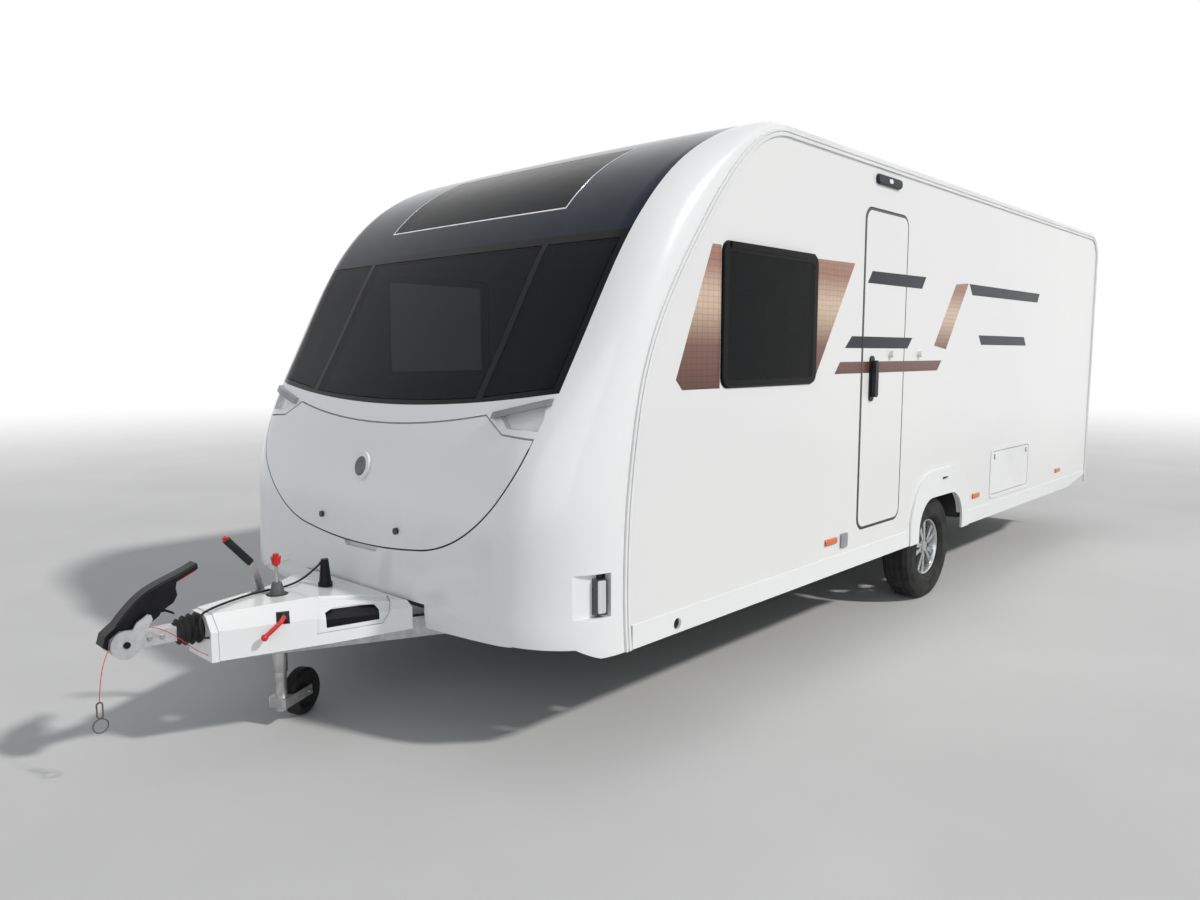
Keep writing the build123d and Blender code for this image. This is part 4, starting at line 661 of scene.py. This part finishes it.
def surface_strip(name, find, inner, outer, lift, material):
    """A thin band between two rows of y, z points on a surface."""
    sections = []
    for inner_point, outer_point in zip(inner, outer):
        near, normal = find(*inner_point)
        far, _ = find(*outer_point)
        sections.append((near, far, far + normal * lift, near + normal * lift))
    mesh = bmesh.new()
    loft(mesh, sections)
    return add_mesh(name, mesh, "caravan", material)


cowl_surface = surface_finder("front_cowl")
trim_low, trim_high = PANORAMA_Z
trim_out = PANORAMA_HALF + TRIM_WIDTH
trim_foot = trim_low - TRIM_WIDTH
surface_strip("panorama_line", cowl_surface,
              row((-trim_out, trim_low), (trim_out, trim_low), FOOT_CELLS),
              row((-trim_out, trim_foot), (trim_out, trim_foot), FOOT_CELLS),
              TRIM_LIFT, chrome)
for side, label in ((1, "left"), (-1, "right")):
    near_y, far_y = side * PANORAMA_HALF, side * trim_out
    surface_strip("panorama_side_" + label, cowl_surface,
                  row((near_y, trim_low), (near_y, trim_high), SIDE_CELLS),
                  row((far_y, trim_low), (far_y, trim_high), SIDE_CELLS),
                  TRIM_LIFT, chrome)

# Black seals round the locker lid and the door; the lid's seal also paints the shade in the gap
# round the lid
WELD = 1e-5
# Least cosine between an outer face and the way out, and greatest between it and its flank
OUTWARD = 0.5
SHARP = 0.6


def chain_length(chain):
    return sum((a.co - b.co).length for a, b in zip(chain, chain[1:]))


def outer_edge(node, behind, limit):
    """A panel's outer edge below a height, as points in order with two directions each.

    behind is a point inside the caravan that the panel's outer face looks away from. The
    directions are outward from the face and outward from the flank beside it.
    """
    mesh = bmesh.new()
    mesh.from_mesh(nodes[node].data)
    bmesh.ops.remove_doubles(mesh, verts=mesh.verts, dist=WELD)
    beside = {}
    for edge in mesh.edges:
        if len(edge.link_faces) != 2 or max(vertex.co.z for vertex in edge.verts) > limit:
            continue
        away = (edge.verts[0].co - behind).normalized()
        flank, face = sorted((side.normal for side in edge.link_faces), key=away.dot)
        if away.dot(face) > OUTWARD and flank.dot(face) < SHARP:
            for vertex in edge.verts:
                beside.setdefault(vertex, []).append((edge.other_vert(vertex), flank, face))
    chains = []
    left = set(beside)
    while left:
        ends = [vertex for vertex in left if len(beside[vertex]) == 1]
        step = min(ends or left, key=lambda vertex: tuple(vertex.co))
        chain = []
        while step:
            chain.append(step)
            left.discard(step)
            step = next((other for other, _, _ in beside[step] if other in left), None)
        chains.append(chain)
    longest = max(chains, key=chain_length)
    edge = []
    for vertex in longest:
        out = sum((face for _, _, face in beside[vertex]), Vector()).normalized()
        aside = sum((flank for _, flank, _ in beside[vertex]), Vector())
        aside = (aside - out * aside.dot(out)).normalized()
        edge.append((vertex.co.copy(), out, aside))
    closed = any(other is longest[0] for other, _, _ in beside[longest[-1]])
    mesh.free()
    return edge, closed


def edge_seal(name, panel, behind, limit, width, top=0.0006, depth=0.006, room=0.0006):
    """A rubber strip in the gap round a panel, riding with the panel."""
    edge, closed = outer_edge(panel, behind, limit)
    corner_offsets = ((room, top), (width, top), (width, depth), (room, depth))
    mesh = bmesh.new()
    loft(mesh, [[point + flank * out - face * down for out, down in corner_offsets]
                for point, face, flank in edge], closed)
    return add_mesh(name, mesh, panel, rubber)


# The lid's seal, partly rubber and partly painted shade of the gap, ends below its upper edge,
# where the hinges are; the door's goes all round
LID_SEAL_AND_SHADE_TOP = 1.2
LOCKER_MIDDLE = Vector((1.6, 0, 1.0))
LID_SEAL_AND_SHADE_WIDTH, DOOR_SEAL_WIDTH = 0.0056, 0.0042
edge_seal("lid_seal_and_gap_shade", "locker_lid", LOCKER_MIDDLE, LID_SEAL_AND_SHADE_TOP, LID_SEAL_AND_SHADE_WIDTH)
edge_seal("door_seal", "door", side_rectangle("door")[0], OPEN, DOOR_SEAL_WIDTH)


# Small moulded plates on the walls
def rounded(centre, half, radius, steps=6):
    """A rounded rectangle's outline in x and z."""
    points = []
    for quarter, (sign_x, sign_z) in enumerate(((1, 1), (-1, 1), (-1, -1), (1, -1))):
        for step in range(steps + 1):
            angle = math.radians(90 * (quarter + step / steps))
            points.append((centre[0] + sign_x * (half[0] - radius) + radius * math.cos(angle),
                           centre[1] + sign_z * (half[1] - radius) + radius * math.sin(angle)))
    return points


def plates(name, body, material, places, half, radius, levels, base=0):
    """Like mouldings at sides and x, z centres, as one piece.

    A level is how far its outline lies inside the rectangle and how high it lies above base,
    which is itself a height above the wall.
    """
    mesh = bmesh.new()
    for side, centre in places:
        sections = []
        for inset, lift in levels:
            outline = rounded(centre, [size - inset for size in half], radius - inset)
            sections.append([(x, side * (HALF + base + lift), z) for x, z in outline])
        loft(mesh, sections)
    return add_mesh(name, mesh, body, material)


# Side marker lenses at the size that the photograph shows, about the CAD markers' centres
MARKER_PLACES = ((0.824, 0.585), (-1.172, 0.587), (-2.991, 0.582))
MARKER_HALF = (0.061, 0.0165)
MARKER_LEVELS = ((0, 0.0002), (0, 0.005), (0.0012, 0.0082), (0.0035, 0.0098), (0.007, 0.0102))
markers = plates("marker_lenses", "caravan", amber,
                 [(side, centre) for side in (1, -1) for centre in MARKER_PLACES],
                 MARKER_HALF, radius=0.008, levels=MARKER_LEVELS)
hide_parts("side_markers")

# Black sheets in the slots of the wheel arch trims: painted shade inside the slots
SLOT_CENTRE = (-0.611, 0.768)
SLOT_HALF = (0.0445, 0.0075)
plates("arch_slot_shade", "caravan", rubber,
       [(side, SLOT_CENTRE) for side in (1, -1)], SLOT_HALF, radius=0.0074,
       levels=((0, 0.0003), (0, 0.0012)))

# The long awning light over the CAD's short one, and its lamp
AWNING_LIGHT = [(1, (0.302, 2.447))]
LIGHT_HALF = (0.145, 0.026)
LAMP_HALF = (0.022, 0.011)
LIGHT_LIFT = 0.0175
plates("awning_light", "caravan", slate, AWNING_LIGHT, LIGHT_HALF,
       radius=0.0255, levels=((0, 0.0002), (0, 0.004), (0.002, 0.012), (0.006, LIGHT_LIFT)))
plates("awning_lamp", "caravan", white, AWNING_LIGHT, LAMP_HALF,
       radius=0.0105, levels=((0, 0.0002), (0, 0.001), (0.003, 0.002)), base=LIGHT_LIFT)

# Two locks on the service hatch, each a grey ring with a white cap; the grey ring also paints the
# shadow round the cap
HATCH_LOCKS = [(1, (-1.504, 0.821)), (1, (-2.165, 0.821))]
HATCH_LIFT = corners("service_hatch")[1].y - HALF
RING_AND_SHADOW_HALF = (0.019, 0.019)
CAP_HALF = (0.012, 0.012)
plates("hatch_lock_rings_and_shadow", "service_hatch", grey, HATCH_LOCKS, RING_AND_SHADOW_HALF,
       radius=0.0185, levels=((0, 0.0002), (0, 0.002), (0.002, 0.003)), base=HATCH_LIFT)
plates("hatch_lock_caps", "service_hatch", trim_white, HATCH_LOCKS, CAP_HALF,
       radius=0.0118, levels=((0, 0.0032), (0, 0.007), (0.002, 0.008)), base=HATCH_LIFT)

# Dark housings behind the corner lamps; their dark colour also paints the shade on the rear wall of
# each lamp recess
HOUSING_AND_SHADE_X = (2.487, 2.530)
HOUSING_AND_SHADE_Y = (1.1700, 1.1792)
HOUSING_AND_SHADE_Z = (0.562, 0.735)
housings_and_shade = bmesh.new()
for side in (1, -1):
    rear, front = HOUSING_AND_SHADE_X
    inner, outer = (side * y for y in HOUSING_AND_SHADE_Y)
    outline = ((rear, outer), (front, outer), (front, inner), (rear, inner))
    loft(housings_and_shade, [[(x, y, z) for x, y in outline] for z in HOUSING_AND_SHADE_Z])
add_mesh("lamp_housings_and_shade", housings_and_shade, "caravan", smoked)

# A black sheet behind the fairing's side opening: painted shade for the dark inside of the opening
# Rows of the fairing: x, half width, crease height, half width and height of its top edge
FAIRING_ROWS = ((2.832, 0.440, 0.518, 0.405, 0.540), (3.110, 0.302, 0.512, 0.150, 0.562),
                (3.505, 0.107, 0.497, 0.062, 0.556))
OPENING_X = (2.930, 3.110, 3.148)
OPENING_FOOT = 0.456
SHADE_RISE = 0.026
SHADE_DEPTHS = (0.0165, 0.0190)


def fairing_row(x):
    start, end = FAIRING_ROWS[:2] if x <= FAIRING_ROWS[1][0] else FAIRING_ROWS[1:]
    share = (x - start[0]) / (end[0] - start[0])
    return [a + share * (b - a) for a, b in zip(start, end)]


def opening_section(x):
    """Across the painted-shade sheet at x: up the flank, then part of the way along the slope above
    it.
    """
    _, half, crease, top_half, top = fairing_row(x)
    rise = SHADE_RISE / (top - crease)
    near, far = [((half - depth, OPENING_FOOT), (half - depth, crease - depth),
                  (half - depth + rise * (top_half - half), crease - depth + SHADE_RISE))
                 for depth in SHADE_DEPTHS]
    return [(x, y, z) for y, z in (*near, *reversed(far))]


opening_shade = bmesh.new()
loft(opening_shade, [opening_section(x) for x in OPENING_X])
add_mesh("fairing_opening_shade", opening_shade, "caravan", black)


# Hexagon bolts: five in each wheel's hub, and two through each side of the coupling's neck
def bolt(mesh, centre, direction, across, height):
    """A hexagon head with a chamfered top, standing on centre along direction."""
    aside = direction.orthogonal().normalized()
    beside = direction.cross(aside)
    sections = []
    for share, lift in ((1, 0), (1, 0.75), (0.82, 1)):
        radius = across / math.sqrt(3) * share
        angles = [math.radians(60 * corner) for corner in range(6)]
        sections.append([centre + direction * (height * lift)
                         + aside * (radius * math.cos(angle)) + beside * (radius * math.sin(angle))
                         for angle in angles])
    loft(mesh, sections)


SEAT_GAP = 0.0002
WHEEL_CENTRE = Vector((-0.561, 1.0875, 0.325))
HUB_FACE = 0.049
HUB_BOLTS = 5
BOLT_CIRCLE = 0.0415
# Size across the flats and height of the two kinds of head
HUB_HEAD = (0.013, 0.006)
NECK_HEAD = (0.017, 0.008)
for side, label in ((1, "left"), (-1, "right")):
    mesh = bmesh.new()
    for number in range(HUB_BOLTS):
        angle = math.radians(90 + 360 / HUB_BOLTS * number)
        centre = WHEEL_CENTRE + Vector((BOLT_CIRCLE * math.cos(angle), HUB_FACE + SEAT_GAP,
                                        BOLT_CIRCLE * math.sin(angle)))
        centre.y *= side
        bolt(mesh, centre, Vector((0, side, 0)), *HUB_HEAD)
    add_mesh("wheel_bolts_" + label, mesh, "wheel_" + label, zinc)

NECK_BOLTS = ((3.652, 0.500), (3.697, 0.503))
NECK_HALF = 0.030
mesh = bmesh.new()
for side in (1, -1):
    for x, z in NECK_BOLTS:
        bolt(mesh, Vector((x, side * (NECK_HALF + SEAT_GAP), z)), Vector((0, side, 0)),
             *NECK_HEAD)
add_mesh("neck_bolts", mesh, "caravan", zinc)

# Red edge under the tip of the stabiliser's lever
TIP_START = Vector((3.517, 0, 0.7305))
TIP_END = Vector((3.590, 0, 0.6985))
EDGE_HALF = 0.026
EDGE_DEPTH = 0.006
along = (TIP_END - TIP_START).normalized()
down = Vector((along.z, 0, -along.x)) * EDGE_DEPTH
mesh = bmesh.new()
loft(mesh, [[point + Vector((0, y, 0)) + shift for y, shift in
             ((-EDGE_HALF, Vector()), (EDGE_HALF, Vector()), (EDGE_HALF, down),
              (-EDGE_HALF, down))] for point in (TIP_START, TIP_END)])
add_mesh("lever_red_edge", mesh, "caravan", red_paint)


# Cushions: crowned pads in place of the plain blocks
def pad(name, low, high, crown, waist=(0.02, 0.04), fullness=6, cells=10):
    """A closed pad between two corners, crowned above and below, drawn in at mid-height."""
    mesh = bmesh.new()
    bmesh.ops.create_cube(mesh, size=2)
    bmesh.ops.subdivide_edges(mesh, edges=mesh.edges, cuts=cells, use_grid_fill=True)
    centre = (Vector(low) + Vector(high)) / 2
    half = (Vector(high) - Vector(low)) / 2
    for vertex in mesh.verts:
        x, y, z = vertex.co
        middle = 1 - abs(z)
        shape = (x * (1 - waist[0] * middle), y * (1 - waist[1] * middle),
                 z * (1 - crown * max(abs(x), abs(y)) ** fullness))
        vertex.co = Vector(a * b for a, b in zip(shape, half)) + centre
    piece = add_mesh(name, mesh, "caravan", cloth)
    for face in piece.data.polygons:
        face.use_smooth = True
    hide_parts("cushions")


SEATS = ((1, "left", 0.905, 2.285), (-1, "right", 0.705, 2.285))
PAD_GAP = 0.004
PAD_WALL = 1.193
# Name, inner y, low and high z, and crown
PADS = (("seat", 0.55, 0.881, 1.009, 0.12), ("back", 1.076, 1.011, 1.398, 0.05))
for side, label, seat_rear, seat_front in SEATS:
    middle = (seat_rear + seat_front) / 2
    for index, (rear, front) in enumerate(((seat_rear, middle), (middle, seat_front))):
        for kind, inner_y, low_z, high_z, crown in PADS:
            low_y, high_y = sorted((side * inner_y, side * PAD_WALL))
            pad(f"{kind}_{label}_{index}", (rear + PAD_GAP, low_y, low_z),
                (front - PAD_GAP, high_y, high_z), crown)


# Stage: a pale floor that fades into the white surrounding, and soft light
FLOOR_SIZE = 120
FADE_START, FADE_END = 5, 24


def seen_ray(tree):
    """1 for the rays that should meet the white surrounding: camera, glossy and transmitted."""
    path = tree.nodes.new("ShaderNodeLightPath")
    total = path.outputs["Is Camera Ray"]
    for name in ("Is Glossy Ray", "Is Transmission Ray"):
        total = compute(tree, "MAXIMUM", total, path.outputs[name])
    return total


def build_stage():
    mesh = bmesh.new()
    bmesh.ops.create_grid(mesh, x_segments=1, y_segments=1, size=FLOOR_SIZE)
    geometry = bpy.data.meshes.new("studio_floor")
    mesh.to_mesh(geometry)
    mesh.free()
    material, tree, surface = shader("studio_floor", (0.66, 0.66, 0.66), 0.8)
    tree.links.new(blend_colour(tree, noise(tree, 0.7, 3), (0.60, 0.60, 0.60),
                                (0.64, 0.64, 0.64)), surface.inputs["Base Color"])
    reach = vector_step(tree, "LENGTH", position(tree), output="Value")
    fade = spread(tree, reach, 0, 1, FADE_START, FADE_END, smooth=True)
    glow = tree.nodes.new("ShaderNodeEmission")
    glow.inputs["Color"].default_value = (1, 1, 1, 1)
    mix = tree.nodes.new("ShaderNodeMixShader")
    tree.links.new(compute(tree, "MULTIPLY", fade, seen_ray(tree)), mix.inputs["Fac"])
    tree.links.new(surface.outputs["BSDF"], mix.inputs[1])
    tree.links.new(glow.outputs["Emission"], mix.inputs[2])
    tree.links.new(mix.outputs["Shader"], tree.nodes["Material Output"].inputs["Surface"])
    geometry.materials.append(material)
    piece = bpy.data.objects.new("studio_floor", geometry)
    scene.collection.objects.link(piece)


FILL_COLOUR = (0.93, 0.96, 1.0)
FILL_STRENGTH = 0.34
# Name, strength, softness, colour, tilt from straight down and heading, angles in degrees
SUNS = (("key", 2.15, 4, (1.0, 0.98, 0.95), 50, 200),
        ("front_fill", 0.55, 50, FILL_COLOUR, 72, 120))


def build_light():
    world = bpy.data.worlds.new("studio")
    scene.world = world
    world.use_nodes = True
    tree = world.node_tree
    backdrop = tree.nodes["Background"]
    backdrop.inputs["Color"].default_value = (1, 1, 1, 1)
    backdrop.inputs["Strength"].default_value = 1.0
    fill = tree.nodes.new("ShaderNodeBackground")
    fill.inputs["Color"].default_value = (*FILL_COLOUR, 1)
    fill.inputs["Strength"].default_value = FILL_STRENGTH
    mix = tree.nodes.new("ShaderNodeMixShader")
    tree.links.new(seen_ray(tree), mix.inputs["Fac"])
    tree.links.new(fill.outputs["Background"], mix.inputs[1])
    tree.links.new(backdrop.outputs["Background"], mix.inputs[2])
    tree.links.new(mix.outputs["Shader"], tree.nodes["World Output"].inputs["Surface"])
    for name, energy, angle, colour, tilt, heading in SUNS:
        sun = bpy.data.lights.new(name, "SUN")
        sun.energy = energy
        sun.angle = math.radians(angle)
        sun.color = colour
        lamp = bpy.data.objects.new(name, sun)
        lamp.rotation_euler = (math.radians(tilt), 0, math.radians(heading))
        scene.collection.objects.link(lamp)


build_stage()
build_light()
